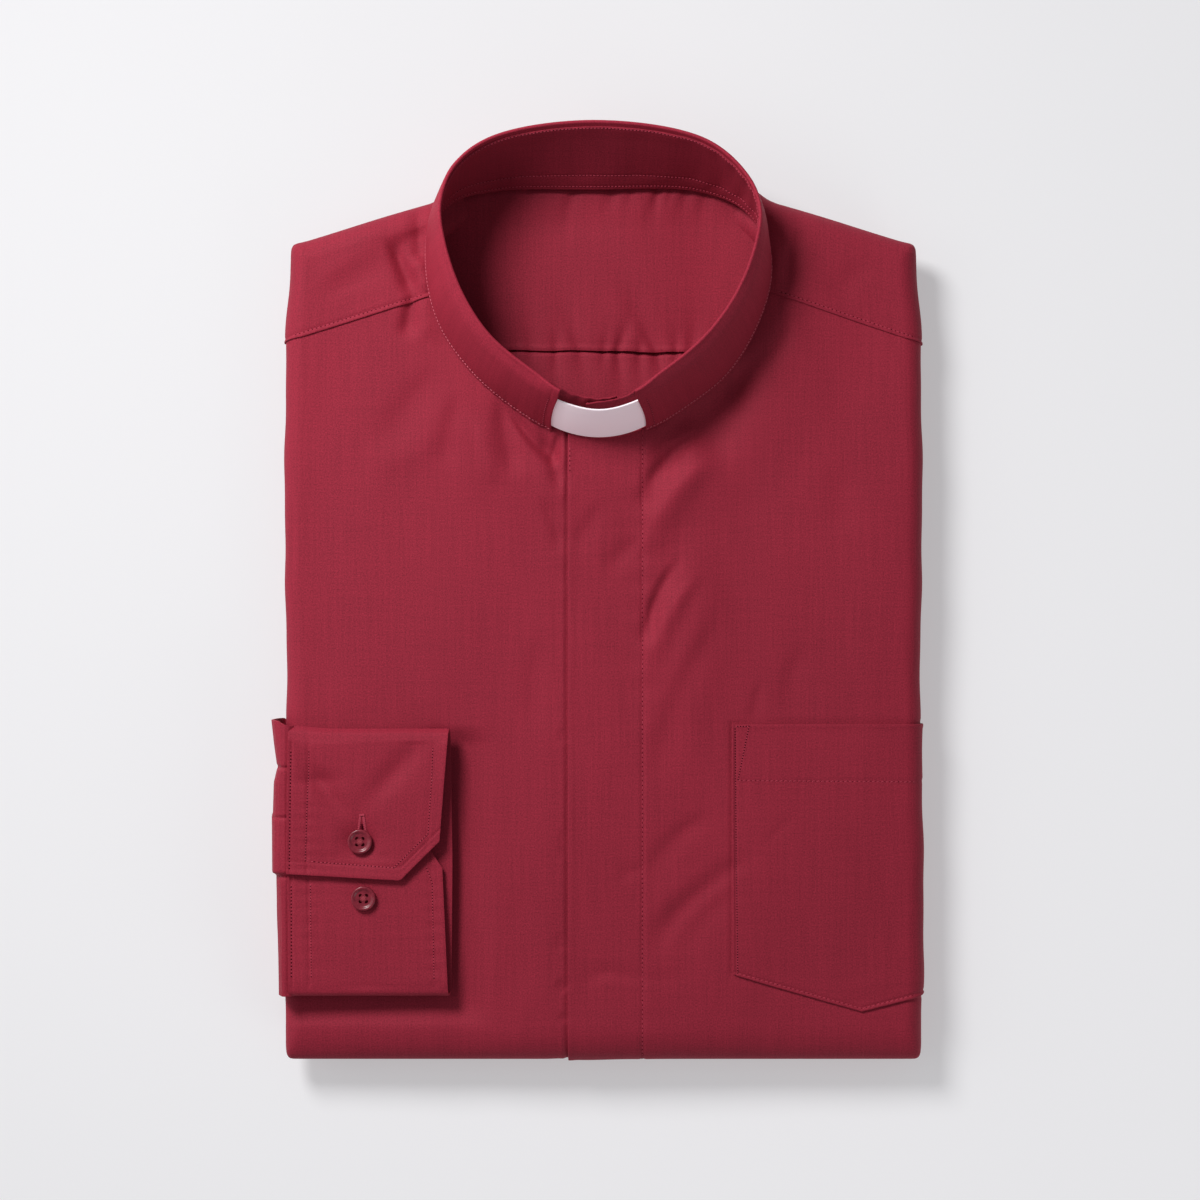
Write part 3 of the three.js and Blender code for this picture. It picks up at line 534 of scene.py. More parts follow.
# %% [markdown]
# ## The collar's two lines
# The band is one curved strip. Its lower edge is sewn to the neckline and its upper edge leans away behind,
# so it is drawn from two closed curves through a few stations. The rows are the same places as in the frame.
# %% Collar lines
COLLAR = np.array([
    # seam x, seam y, rim x, rim y, rim z; from the front centre round by the wearer's right
    (-1.6, 72.6, -1.6, 86.8, 58),
    (-23.4, 76.2, -19.4, 91.4, 58),
    (-42, 87.1, -35.8, 101.7, 58),
    (-60.4, 103.3, -52.6, 116.3, 57.5),
    (-74.2, 123.8, -65.2, 136.6, 57),
    (-80, 147.8, -71.4, 157, 56.5),
    (-78.4, 169, -72.6, 176, 55),
    (-68.5, 181.3, -66.4, 192.6, 51.5),
    (-49.6, 187.2, -49.6, 205.6, 48),
    (-3, 188, -3.2, 213, 46),
    (42, 187.4, 45.2, 204.6, 48),
    (62.4, 179.6, 64, 188, 51.5),
    (73, 166, 69.6, 173, 55),
    (75.6, 146, 67.6, 154, 56.5),
    (69, 122.6, 60.8, 135.5, 57),
    (56.4, 102, 47.3, 116.3, 57.5),
    (39.6, 88, 31.8, 102.6, 58),
    (20, 76.6, 14.8, 91.6, 58),
])
STATIONS = len(COLLAR)


def smooth_ring(rows, turn):
    """A closed centripetal Catmull-Rom curve through rows, at turn from 0 to 1."""
    turn = np.asarray(turn) % 1.0 * len(rows)
    index = np.floor(turn).astype(int)
    share = (turn - index)[..., None]
    p = [rows[(index + k - 1) % len(rows)] for k in range(4)]
    gaps = [np.maximum(np.sum((p[k + 1] - p[k]) ** 2, axis=-1, keepdims=True), 1e-12) ** 0.25 for k in range(3)]
    leave = (p[1] - p[0]) / gaps[0] - (p[2] - p[0]) / (gaps[0] + gaps[1]) + (p[2] - p[1]) / gaps[1]
    arrive = (p[2] - p[1]) / gaps[1] - (p[3] - p[1]) / (gaps[1] + gaps[2]) + (p[3] - p[2]) / gaps[2]
    leave, arrive = leave * gaps[1], arrive * gaps[1]
    square, cube = share**2, share**3
    return (
        p[1]
        + leave * share
        + (3 * (p[2] - p[1]) - 2 * leave - arrive) * square
        + (2 * (p[1] - p[2]) + leave + arrive) * cube
    )


def flat_of(rows):
    return np.concatenate([rows, np.zeros((len(rows), 1))], axis=1)


def band_lines(turn):
    """The seam point and the rim point at each turn."""
    seam = smooth_ring(flat_of(COLLAR[:, :2]), turn)
    seam[..., 2] = body_height(seam[..., 0], seam[..., 1]) + 0.9
    rim = smooth_ring(COLLAR[:, 2:], turn)
    return seam, rim


def band_point(turn, height):
    turn, height = np.broadcast_arrays(turn, height)
    seam, rim = band_lines(turn)
    point = mix(seam, rim, height[..., None])
    outward = point - np.array([WELL_X, WELL_Y, 0.0])
    outward[..., 2] = 0
    outward /= np.linalg.norm(outward, axis=-1, keepdims=True)
    bulge = np.maximum(0, 1.2 * 4 * height * (1 - height))
    return point + outward * bulge[..., None]


print("the rim stands", round(float(band_point(0.0, 1.0)[2]), 1), "mm high at the throat")

# %% [markdown]
# ## The neckline
# The fronts and the yoke end under the band. That line runs a little inside the band's seam, and it is kept
# in two halves, so that a column of cloth can look up where it has to stop in front and behind.
# %% Neckline
NECK_LEFT, NECK_RIGHT = -78, 73.6
UNDER_BAND = 1.5
ring_turns = np.linspace(0, 1, 721)
ring = smooth_ring(flat_of(COLLAR[:, :2]), ring_turns)[:, :2]
inward = np.array([WELL_X, WELL_Y]) - ring
neckline = ring + UNDER_BAND * inward / np.linalg.norm(inward, axis=1, keepdims=True)
front_half = neckline[(ring_turns < 0.29) | (ring_turns > 0.72)]
back_half = neckline[(ring_turns > 0.27) & (ring_turns < 0.75)]


def neckline_y(x, half):
    order = np.argsort(half[:, 0])
    return np.interp(x, half[order, 0], half[order, 1])


print("neck", round(float(np.sum(np.linalg.norm(np.diff(ring, axis=0), axis=1)))), "mm round")

# %% [markdown]
# ## The two fronts
# Each front is one cut piece from the yoke seam to the tail, rolled over the side fold and the tail fold. So
# one helper lays columns across the flat and over a side, and rows from the tail up to wherever the piece
# ends. Another gives the small gathers that every row of stitching draws into the cloth.
# %% Front grids
ROLL_STEPS = np.linspace(0, 1, 17)[1:]
TAIL_ROLLS = -np.linspace(0, 1, 20)[1:][::-1]


def body_sheet(xs, rolls_x, lower, upper, tail=True, step=1.5):
    """Points over the body: columns at xs and over a side fold, rows from the tail to upper(x)."""
    shares = spaced(0, 330, step, 0.6, 6, (False, True)) / 330
    roll_y = np.concatenate([TAIL_ROLLS if tail else [], np.zeros(len(shares))])[:, None]
    share = np.concatenate([np.zeros(len(TAIL_ROLLS) if tail else 0), shares])[:, None]
    reach = beyond(xs, rolls_x)
    y = mix(lower(reach), upper(reach), share)
    return body_point(xs[None, :], y, rolls_x[None, :], roll_y)


def with_left_fold(xs):
    """Columns on the flat, then over the fold on the wearer's left."""
    return (np.concatenate([xs, np.full(len(ROLL_STEPS), FLAT_EDGE)]), np.concatenate([0 * xs, ROLL_STEPS]))


def with_right_fold(xs):
    return (np.concatenate([np.full(len(ROLL_STEPS), -FLAT_EDGE), xs]), np.concatenate([-ROLL_STEPS[::-1], 0 * xs]))


def tail_start(xs):
    return np.full_like(xs, TAIL_Y + TAIL_ROLL)


def front_top(xs):
    """The fronts run on a little under the yoke and under the collar band."""
    half = neckline_y(xs, front_half)
    inside = (xs > -77.5) & (xs < 73.8)
    return np.where(inside, half, yoke_seam_y(xs) + 3.5)


def pucker(along, away, pitch, depth, reach, phase=0.0):
    """Small uneven gathers that fade away from a line of stitching."""
    uneven = np.sin(along / pitch * 6.283 + phase + 1.7 * np.sin(along / (pitch * 2.7)))
    slow = 0.55 + 0.45 * np.sin(along / (pitch * 4.3) + phase)
    return depth * uneven * slow * np.exp(-np.abs(away) / reach)


print("a front rolls over its side fold in", len(ROLL_STEPS), "steps")

# %% [markdown]
# ## The wearer's right front
# This front runs on under the placket and ends past the middle. It sinks a little before the placket, which
# makes the soft shadow line beside the placket's free edge. The groove is pressed into the grid, because a
# bump in the finish would not cast a shadow.
# %% Right front
xs, rolls = with_right_fold(np.concatenate([spaced(-FLAT_EDGE, -24, 1.7, 0.8, 4), np.arange(-23.4, 2, 0.7)]))
points = body_sheet(xs, rolls, tail_start, front_top)
px, py = points[..., 0], points[..., 1]
sink = -0.7 * ease(-18.4, -16.4, px) - 0.2 * bump(px, -20, 3.5)
sink -= 0.8 * ease(-17.7, -16.3, px) * ease(42, 54, py)
sink += pucker(py, px + 16.5, 17, 0.25, 4.0) + pucker(px, py - yoke_seam_y(px), 9, 0.2, 5.0, 1.1)
front_right = cloth_piece("front_right_cloth", moved_out(points, sink), wall=0.7, edge=0, material=shirt_poplin)
dress(front_right, ["front_right"])

# %% [markdown]
# ## The wearer's left front
# The left front carries the pocket. The pocket's outline is set down first, because this front dips along
# its edge, where the stitching holds both together.
# %% Left front
POCKET_LEFT, POCKET_TOP, POCKET_HEM = 57.6, -55.9, -81.6
POCKET_CORNER, POCKET_TIP = -168.6, (116.2, -185.3)


def pocket_foot(across):
    slope = (POCKET_TIP[1] - POCKET_CORNER) / (POCKET_TIP[0] - POCKET_LEFT)
    left = POCKET_CORNER + slope * (across - POCKET_LEFT)
    return np.where(across < POCKET_TIP[0], left, POCKET_TIP[1] + 0.25 * (across - POCKET_TIP[0]))


xs, rolls = with_left_fold(spaced(PLACKET_RIGHT - 0.4, FLAT_EDGE, 1.7, 0.45, 6, marks=(POCKET_LEFT,)))
points = body_sheet(xs, rolls, tail_start, front_top)
px, py = points[..., 0], points[..., 1]
rise = pucker(py, px - PLACKET_RIGHT, 13, 0.3, 6.0, 0.4) + pucker(px, py - yoke_seam_y(px), 8, 0.18, 5.0, 2.2)
rise += -0.35 * bump(px, PLACKET_RIGHT + 0.2, 1.0)
beside = bump(px, POCKET_LEFT - 0.1, 0.8) * ease(POCKET_CORNER - 3, POCKET_CORNER, py) * ease(-54, -57, py)
above = bump(py, POCKET_TOP + 0.5, 1.0) * ease(POCKET_LEFT - 2, POCKET_LEFT, px)
below = bump(py, pocket_foot(px) - 0.5, 1.0) * ease(POCKET_LEFT - 2, POCKET_LEFT, px)
rise -= 0.3 * np.maximum(beside, np.maximum(above, below))
front_left = cloth_piece("front_left_cloth", moved_out(points, rise), wall=0.7, edge=0, material=shirt_poplin)
dress(front_left, ["front_left"])

# %% [markdown]
# ## The fly placket
# A fly front hides its buttons under a plain strip. The strip's free edge stands proud with a rounded fold,
# and its other edge is held down by one long row of stitching, where the cloth dips and puckers.
# %% Placket
xs = spaced(PLACKET_LEFT, PLACKET_RIGHT + 0.2, 1.5, 0.35, 4)
points = body_sheet(xs, 0 * xs, tail_start, lambda x: neckline_y(x, front_half) - 0.6)
px, py = points[..., 0], points[..., 1]
rise = mix(0.55, 0.0, ease(PLACKET_LEFT + 5, PLACKET_RIGHT, px)) + 0.25 * bump(px, PLACKET_LEFT + 1.2, 2.0)
rise += -0.35 * bump(px, PLACKET_RIGHT, 1.0) + pucker(py, px - PLACKET_RIGHT, 13, 0.3, 5.0, 0.4)
rise += 0.2 * np.sin(py / 26) * bump(px, PLACKET_LEFT, 5) + 0.12 * np.sin(py / 9) * bump(px, PLACKET_LEFT, 3)
placket = cloth_piece("placket_cloth", moved_out(points, rise), wall=1.2, edge=0.4, material=shirt_poplin)
dress(placket, ["placket"])

# %% [markdown]
# ## The yoke
# The yoke is one piece over both shoulders and behind the neck. Its front edges are folded and lap over the
# fronts. A column that begins on the flat gets rows up to the shoulder fold and rows round it, and one that
# begins on the fold, behind the neck, spreads its rows round what is left.
# %% Yoke
def yoke_grid(xs, rolls, rows=90):
    radius, start, _, _ = end_roll(beyond(xs, rolls), True)
    on_shoulder = (xs < -77.4) | (xs > 73.5)
    low_y = np.where(on_shoulder, yoke_seam_y(beyond(xs, rolls)) + 0.2,
                     neckline_y(np.clip(xs, NECK_LEFT, NECK_RIGHT), back_half))
    turn = math.radians(90 + TUCK)
    length = radius * turn
    begins = np.arcsin(np.clip((low_y - start) / radius, 0, 1)) / turn
    low = np.where(begins > 0, begins * length, low_y - start)
    knee = np.maximum(0, mix(low, length, 0.45 * ease(0, 2, low)))
    step = np.linspace(0, 2, rows)[:, None]
    step = np.where(step < 0.3, step**2 / 0.3 * 0.7 + step * 0.3, step)
    along = np.where(step < 1, mix(low, knee, step), mix(knee, length, step - 1))
    roll_y = np.where(along < 0, 0, np.maximum(1e-6, along / length))
    y = np.where(along < 0, start + along, start)
    return body_point(xs[None, :], y, rolls[None, :], roll_y)


flat_xs = np.concatenate([
    spaced(-FLAT_EDGE, -77.5, 1.6, 0.8, 4), np.linspace(-77.2, -60, 14), np.linspace(-57, 57, 40),
    np.linspace(58.5, 73.3, 12), spaced(73.6, FLAT_EDGE, 1.6, 0.8, 4),
])
xs = np.concatenate([np.full(16, -FLAT_EDGE), flat_xs, np.full(16, FLAT_EDGE)])
rolls = np.concatenate([-ROLL_STEPS[::-1], 0 * flat_xs, ROLL_STEPS])
points = yoke_grid(xs, rolls)
px, py = points[..., 0], points[..., 1]
from_seam = py - yoke_seam_y(px)
rise = 0.55 + 0.25 * bump(from_seam, 0.8, 0.9) - 0.3 * bump(from_seam, 2.0, 0.6)
rise += pucker(px, from_seam, 8, 0.18, 6.0, 2.2)
rise = np.where(np.abs(px) > 70, rise, 0.4)
yoke = cloth_piece("yoke_cloth", moved_out(points, rise), wall=0.7, edge=0.25, material=shirt_poplin, level=-1)
dress(yoke, ["yoke"])

# %% [markdown]
# ## Inside the neck
# Through the collar the inner yoke shows, and below it the top of the back, joined by one seam across. A
# real back has more cloth than the yoke, so it is eased in, and both sides pucker along the seam. The rows
# of the table are those puckers: where they are, how far they reach up and down, and how deep.
# %% Puckers inside the neck
PUCKERS = [
    # x at the seam, lean up and down, reach up and down, depth, half width
    (-40, 0.0, 0.0, 6, 5, 0.5, 2.2),
    (-33, -0.1, 0.1, 15, 5, 0.7, 2.4),
    (-21.6, 0.0, 0.0, 9, 12, 0.9, 1.9),
    (-10.7, -0.35, 0.2, 18, 9, 1.1, 2.6),
    (0.2, 0.1, 0.0, 7, 5, 0.7, 1.7),
    (6.5, 0.3, 0.1, 11, 15, 1.2, 1.9),
    (16.5, 0.1, 0.0, 5, 12, 0.8, 1.8),
    (24.5, -0.47, 0.2, 24, 10, 1.5, 2.6),
    (33, 0.0, 0.0, 7, 6, 0.8, 1.6),
    (40, 0.1, 0.0, 13, 9, 0.9, 2.1),
]
BAND_PUCKERS = [
    # x, reach down, depth, half width
    (-33, 10, 0.7, 2.8), (-13.4, 12, 1.2, 2.4), (4.4, 9, 1.0, 2.6), (13, 7, 0.6, 1.6), (25, 11, 1.5, 1.9),
    (31, 6, 0.7, 1.4), (38, 10, 1.0, 2.4), (47.4, 12, 0.9, 2.8), (-50, 10, 0.6, 3.0),
]


def pucker_row(x, away, side):
    height = np.zeros(np.broadcast(x, away).shape)
    away = np.maximum(away, 0)
    for centre, lean_up, lean_down, up, down, depth, wide in PUCKERS:
        lean, reach = (lean_up, up) if side > 0 else (lean_down, down)
        fade = np.exp(-(away / (1.1 * reach)) ** 1.6)
        height = height - 1.1 * depth * bump(x, centre + lean * away, wide + away * 0.12) * fade
    return height


def seam_wander(x):
    """How far the seam's line strays where it puckers."""
    return 0.35 * np.sin(x / 5.2 + 0.6) * np.sin(x / 13.0) - 0.012 * (x + 2)


print(len(PUCKERS) + len(BAND_PUCKERS), "puckers inside the neck")

# %% [markdown]
# ## The inner yoke and the back
# Both lie in a shallow bowl and meet at the puckered seam. Each is a plain grid between two lines, with its
# height worked out from the distance to the seam, so the two sides share the seam's wandering line.
# %% Inner yoke and back
BACK_FOOT = 68.0


def neck_sheet(name, xs, shares, ends, height, node):
    px = np.broadcast_to(xs, (len(shares), len(xs)))
    py = mix(ends[0](xs), ends[1](xs), shares[:, None])
    points = np.stack([px, py, height(px, py)], axis=-1)
    piece = cloth_piece(name, points, wall=0.6, edge=0.2, material=shirt_poplin)
    dress(piece, [node])
    return piece


def inner_yoke_height(x, y):
    away = y - YOKE_SEAM_Y - seam_wander(x)
    bowl = 1.6 * ease(40, 72, np.abs(x + 2)) + 1.4 * ease(168, 186, y)
    under_band = 0.0 * x
    for centre, reach, depth, wide in BAND_PUCKERS:
        fade = np.exp(-(np.maximum(0, 187 - y) / reach) ** 1.4)
        under_band = under_band - depth * bump(x, centre - 0.2 * (187 - y), wide + 0.14 * (187 - y)) * fade
    soft = 1.0 * np.sin(x / 13 + 1.1 * np.sin(y / 23)) * np.sin(y / 21 + 0.4) * ease(113, 124, y)
    return 11.9 + bowl + pucker_row(x, away, 1) + 0.3 * bump(away, 1.4, 1.2) + under_band + soft


def back_height(x, y):
    away = YOKE_SEAM_Y + seam_wander(x) - y
    return 10.6 - 1.0 * bump(away, 0, 1.3) + pucker_row(x, away, -1) + 1.0 * ease(1, 20, away) + 0.8 * lie(x, y)


def back_foot(xs):
    return np.full_like(xs, BACK_FOOT)


def seam_edge(xs):
    return YOKE_SEAM_Y + seam_wander(xs)


def yoke_head(xs):
    return neckline_y(np.clip(xs, NECK_LEFT, NECK_RIGHT), back_half) + 2.0


xs = spaced(-74, 70, 0.9, 0.9)
shares = spaced(0, 75, 1.0, 0.4) / 75
inner_yoke = neck_sheet("inner_yoke_cloth", xs, shares, (seam_edge, yoke_head), inner_yoke_height, "yoke_inner")
shares = 1 - spaced(0, 45, 1.0, 0.4)[::-1] / 45
back = neck_sheet("back_cloth", xs[4:-4], shares, (back_foot, seam_edge), back_height, "back")

# %% [markdown]
# ## The pocket
# A patch pocket, with a deep hem at its mouth and a pointed foot. It is cut to follow the front's surface
# and turns over the side fold with it. The hem and the edges are double cloth, so they stand a little
# higher than the single cloth between.
# %% Pocket
def pocket_left(y):
    """The free side leans in a little to the foot."""
    return mix(-0.1, -1.1, ease(-60, -160, y))


flat_xs = np.concatenate([spaced(POCKET_LEFT, POCKET_TIP[0], 1.5, 0.35, 5, (True, False)),
                          spaced(POCKET_TIP[0], FLAT_EDGE, 1.5, 1.5)[1:]])
xs, rolls = with_left_fold(flat_xs)
reach = xs + rolls * SIDE_ROLL * 2.4
share = spaced(0, 125, 1.6, 0.35, 5, marks=(103,)) / 125
ys = mix(pocket_foot(reach), np.full_like(xs, POCKET_TOP), share[:, None])
points = body_point(xs[None, :] - pocket_left(ys) * ease(POCKET_LEFT + 20, POCKET_LEFT, xs), ys, rolls[None, :], 0.0)
px, py = points[..., 0], points[..., 1]
in_left = px - POCKET_LEFT
in_foot = py - pocket_foot(px)
in_top = POCKET_TOP - py
edge_ridge = np.maximum(bump(in_left, 0.7, 0.8), np.maximum(bump(in_foot, 0.7, 0.8), bump(in_top, 0.8, 1.2)))
edge_groove = np.maximum(bump(in_left, 1.8, 0.6), bump(in_foot, 1.8, 0.6))
rise = 0.7 + 0.25 * edge_ridge - 0.3 * edge_groove
rise += 0.2 * ease(POCKET_HEM - 1.2, POCKET_HEM + 0.8, py) - 0.3 * bump(py, POCKET_HEM, 0.6)
rise += pucker(py, in_left, 7, 0.16, 4.0) + pucker(px, py - POCKET_HEM, 6, 0.16, 3.5, 1.0)
rise += 0.35 * bump(px, 118, 9) * bump(py, -173, 4) - 0.3 * bump(px, 113, 5) * bump(py, -181, 2.5)
rise -= 0.3 * bump(px - 0.9 * (py + 118), 66, 3) * bump(py, -103, 6)
pocket = cloth_piece("pocket_cloth", moved_out(points, rise), wall=0.6, edge=0.25, material=shirt_poplin, level=-1)
dress(pocket, ["pocket"])

# %% [markdown]
# ## The collar band
# The outer band is stiffened cloth. At its upper edge the cloth turns over in a round fold and runs a few
# millimetres down the inside, where the inner band is sewn to it. The fold needs to know which way is up and
# which way is out at every place round the rim, so that is worked out first.
# %% Which way the rim faces
def band_frame(turns):
    """Points and outward directions of the band at two heights near the rim, for the fold over it."""
    rim = band_point(turns, 1.0)
    below = band_point(turns, 0.9)
    up = rim - below
    up /= np.linalg.norm(up, axis=-1, keepdims=True)
    tangent = np.gradient(rim, axis=-2)
    out = np.cross(up, tangent)
    out /= np.linalg.norm(out, axis=-1, keepdims=True)
    return rim, up, out


def facing_out(points):
    return points[:, ::-1]


print("at the back the rim faces", np.round(band_frame(np.linspace(0.4, 0.6, 9))[2][4], 2))

# %% [markdown]
# ## The outer band
# The section runs up the outside, round the fold and down the inside, and is swept round the neck. The ends
# at the throat are cut in a slight curve, and rows of stitching press a groove along the foot and both ends.
# %% Outer band
BAND_ROUND, BAND_HIGH, BAND_WALL = 430, 31, 0.75
RIM_RADIUS, RIM_INSIDE = 0.8, 2.8
END_CURVE = 1.2
tab_half = 1 / STATIONS
turns = tab_half + spaced(0, 1 - 1.95 * tab_half, 0.0042, 0.001, 0.016)
outer_heights = spaced(0, 30, 1.3, 0.35, 4.5) / 30
heights = outer_heights[outer_heights < 0.955]
from_start, from_finish = (turns - turns[0]) * BAND_ROUND, (turns[-1] - turns) * BAND_ROUND
end_shift = END_CURVE / BAND_ROUND * (ease(11, 0, from_start) - ease(11, 0, from_finish))
curved = 4 * np.clip(heights / 0.8, 0, 1) * (1 - np.clip(heights / 0.8, 0, 1))
side = band_point(turns[None, :] + end_shift[None, :] * curved[:, None], heights[:, None])
rim, up, out = band_frame(turns)
from_front = np.minimum(turns, 1 - turns) * STATIONS
rim_lean = (0.2 + 1.5 * ease(6.0, 4.0, from_front) - 1.5 * ease(1.7, 1.0, from_front))[:, None]
side = side - out[None] * rim_lean[None] * (1.25 * ease(0.78, 1.04, heights) ** 1.3)[:, None, None]
centre = rim - up * RIM_RADIUS - out * (RIM_RADIUS + rim_lean)
fold_rows = [centre + RIM_RADIUS * (out * math.cos(a) + up * math.sin(a)) for a in np.linspace(0, math.pi, 11)]
inside_rows = [fold_rows[-1] - up * d for d in np.linspace(0.5, RIM_INSIDE, 5)]
points = np.concatenate([side, np.array(fold_rows + inside_rows)], axis=0)
height_rows = np.concatenate([heights, np.full(len(points) - len(heights), 2.0)])[:, None]
end_distance = np.minimum(turns - turns[0], turns[-1] - turns)[None, :] * BAND_ROUND
rise = 0.15 * bump(height_rows * BAND_HIGH, 0.2, 0.6) - 0.2 * bump(height_rows * BAND_HIGH, 1.1, 0.5)
rise = rise + 0.1 * bump(end_distance, 0.8, 1.0) - 0.16 * bump(end_distance, 4.0, 0.7)
rise = rise + pucker(turns[None, :] * BAND_ROUND, height_rows * BAND_HIGH, 5, 0.16, 5.0)
rise = rise + 0.3 * np.sin(turns[None, :] * 61) * np.sin(height_rows * 4)
rise = rise * (height_rows < 1)
points = facing_out(points)
band_points = moved_out(points, rise[:, ::-1])
# The collar's copy of the poplin is painted lighter, painted light on the band's outside.
outer_band = cloth_piece("collar_outer_cloth", band_points, wall=BAND_WALL, edge=0.25, material=collar_poplin_painted_light)
dress(outer_band, ["collar_band_outer"])

# %% [markdown]
# ## The inner band
# The inner band is sewn below the rim and closes at the throat with one end over the other. It leaves the
# outer band at the front, which opens the channel that holds the tab.
# %% Inner band
def inner_inset(turn, height):
    station = turn * STATIONS
    from_front = np.minimum(np.abs(station), np.abs(STATIONS - station))
    raised = ease(0, 0.4, height)
    behind_tab = (1.2 * ease(2.5, 1.7, from_front) + 2.0 * ease(1.3, 0.5, from_front)) * mix(0.45, 1, raised)
    under = 1.5 * ease(1.3, 0.5, station) * raised
    leaned = (0.3 + 1.3 * ease(6.0, 4.0, from_front)) * ease(0.7, 0.93, height)
    return 1.5 + behind_tab + under + leaned


INNER_BAND_HIGH = 32
BAND_LINES = (0.7, 5.6, 29.0)
OVER_END = STATIONS + 0.36
turns = np.linspace(-0.5, OVER_END, 340) / STATIONS
inner_foot, inner_head = -0.02 * INNER_BAND_HIGH, 0.925 * INNER_BAND_HIGH
heights_inner = spaced(inner_foot, inner_head, 1.5, 0.45, 3, marks=BAND_LINES[:2]) / INNER_BAND_HIGH
over_end = OVER_END - turns * STATIONS
corner = 1 - (1 - np.clip(over_end / 0.5, 0, 1)) ** 2
from_front = np.minimum(np.abs(turns), np.abs(turns - 1)) * STATIONS
low_front = 1 - 0.14 * ease(1.35, 0.6, from_front)
height_grid = heights_inner[:, None] * (low_front * mix(0.92, 1, corner))[None, :]
points = facing_out(band_point(turns[None, :], height_grid))
inset = inner_inset(turns[None, :], height_grid)[:, ::-1]
along = (turns * BAND_ROUND)[None, ::-1]
up_mm = (heights_inner * INNER_BAND_HIGH)[:, None]
rise = pucker(along, up_mm - 28, 9, 0.4, 6.0, 0.6) + pucker(along, up_mm - 5, 14, 1.1, 9.0, 2.0) * ease(2, 7, up_mm)
rise = rise + 0.35 * np.sin(along / 13) * np.sin(up_mm / 9)
for line in BAND_LINES:
    rise = rise + 0.3 * bump(up_mm, line, 0.6)
inner_points = moved_out(points, -inset + 0.6 * rise)
# The lining's copy of the poplin is painted darker, painted shade inside the band.
inner_band = cloth_piece("collar_inner_cloth", inner_points, wall=0.8, edge=0.3, material=lining_poplin_painted_shade)
dress(inner_band, ["collar_band_inner"])

# %% [markdown]
# ## Folded layers
# Under the fronts lie the back, the tail and both sleeves, folded over and over. Only their edges show, as
# soft lips along the sides, and the hollow under the neck. One rounded form holds them: the same section as
# the fronts, a little smaller, carried on down to the table.
# %% Stack of layers
HOLLOW_Z = 8.6
LOWEST = (0.7, 0.75)


def well_depth(x, y):
    """1 inside the hollow under the neck, 0 outside it."""
    across = np.abs((x - WELL_X) / 84) ** 2.4
    deep = np.where(y > WELL_Y, 52.0, 70.0)
    away = (across + (np.abs(y - WELL_Y) / deep) ** 2.4) ** (1 / 2.4)
    return ease(1.02, 0.93, away)


steps = np.concatenate([np.linspace(0, 1, 9)[1:], 1 + np.linspace(0, 1, 27)[1:]])
flat_xs = np.linspace(-FLAT_EDGE, FLAT_EDGE, 84)
flat_ys = np.linspace(0, 1, 100)
xs = np.concatenate([np.full(len(steps), -FLAT_EDGE), flat_xs, np.full(len(steps), FLAT_EDGE)])
rolls_x = np.concatenate([-steps[::-1], 0 * flat_xs, steps])
rolls_y = np.concatenate([-steps[::-1], 0 * flat_ys, steps])
share = np.concatenate([0 * steps, flat_ys, 0 * steps + 1])
_, shoulder_start, _, _ = end_roll(beyond(xs, rolls_x), True)
ys = mix(np.full_like(xs, TAIL_Y + TAIL_ROLL), shoulder_start, share[:, None])
points = body_point(xs[None, :], ys, rolls_x[None, :], rolls_y[:, None], most=2.0)
reach = np.maximum(np.abs(rolls_x)[None, :], np.abs(rolls_y)[:, None])
px, py = points[..., 0], points[..., 1]
lips = 0.5 * np.sin(px / 17 + py / 23) * np.sin((reach - 1) * 9) * ease(1.05, 1.2, reach) * ease(2, 1.85, reach)
sunk = 1.9 + 2.2 * ease(0.6, 0, reach) + 2.4 * bump(px, 0, 26) * ease(0.5, 0, reach)
points = moved_out(points, -sunk * ease(1.3, 1, reach) + lips)
hollow = well_depth(points[..., 0], points[..., 1]) * (reach < 0.2)
points[..., 2] = mix(points[..., 2], HOLLOW_Z, hollow)
points[..., 2] = np.maximum(points[..., 2], np.where(reach >= 2, *LOWEST))
layers = cloth_piece("folded_layers_cloth", points, wall=0.6, edge=0, material=shirt_poplin)
dress(layers, ["folded_layers"])

# %% [markdown]
# ## The underside
# A folded shirt rests flat on what it lies on. A plain sheet between the lowest edges closes the bundle
# below. Its grid spreads evenly between the four edges, so that it meets them all.
# %% Underside
UNDERSIDE_Z = 0.62


def read_off(at, positions, rows):
    """Rows of a table, read off between its lines."""
    return np.stack([np.interp(at, positions, column) for column in rows.T], axis=1)


def between_edges(ring, rows, columns):
    """A flat grid inside the outer ring of another grid, spread evenly from side to side."""
    v = np.linspace(0, 1, rows)[:, None, None]
    u = np.linspace(0, 1, columns)[None, :, None]

    def resampled(edge, count):
        return read_off(np.linspace(0, len(edge) - 1, count), np.arange(len(edge)), edge)

    left, right = resampled(ring[:, 0], rows)[:, None], resampled(ring[:, -1], rows)[:, None]
    foot, head = resampled(ring[0], columns)[None], resampled(ring[-1], columns)[None]
    corners = mix(mix(ring[0, 0], ring[0, -1], u), mix(ring[-1, 0], ring[-1, -1], u), v)
    return mix(left, right, u) + mix(foot, head, v) - corners


under_points = between_edges(points, 90, 70)
under_points[..., 2] = UNDERSIDE_Z
underside = cloth_piece("underside_cloth", under_points, wall=0.6, edge=0, material=shirt_poplin)
dress(underside, ["folded_layers"])

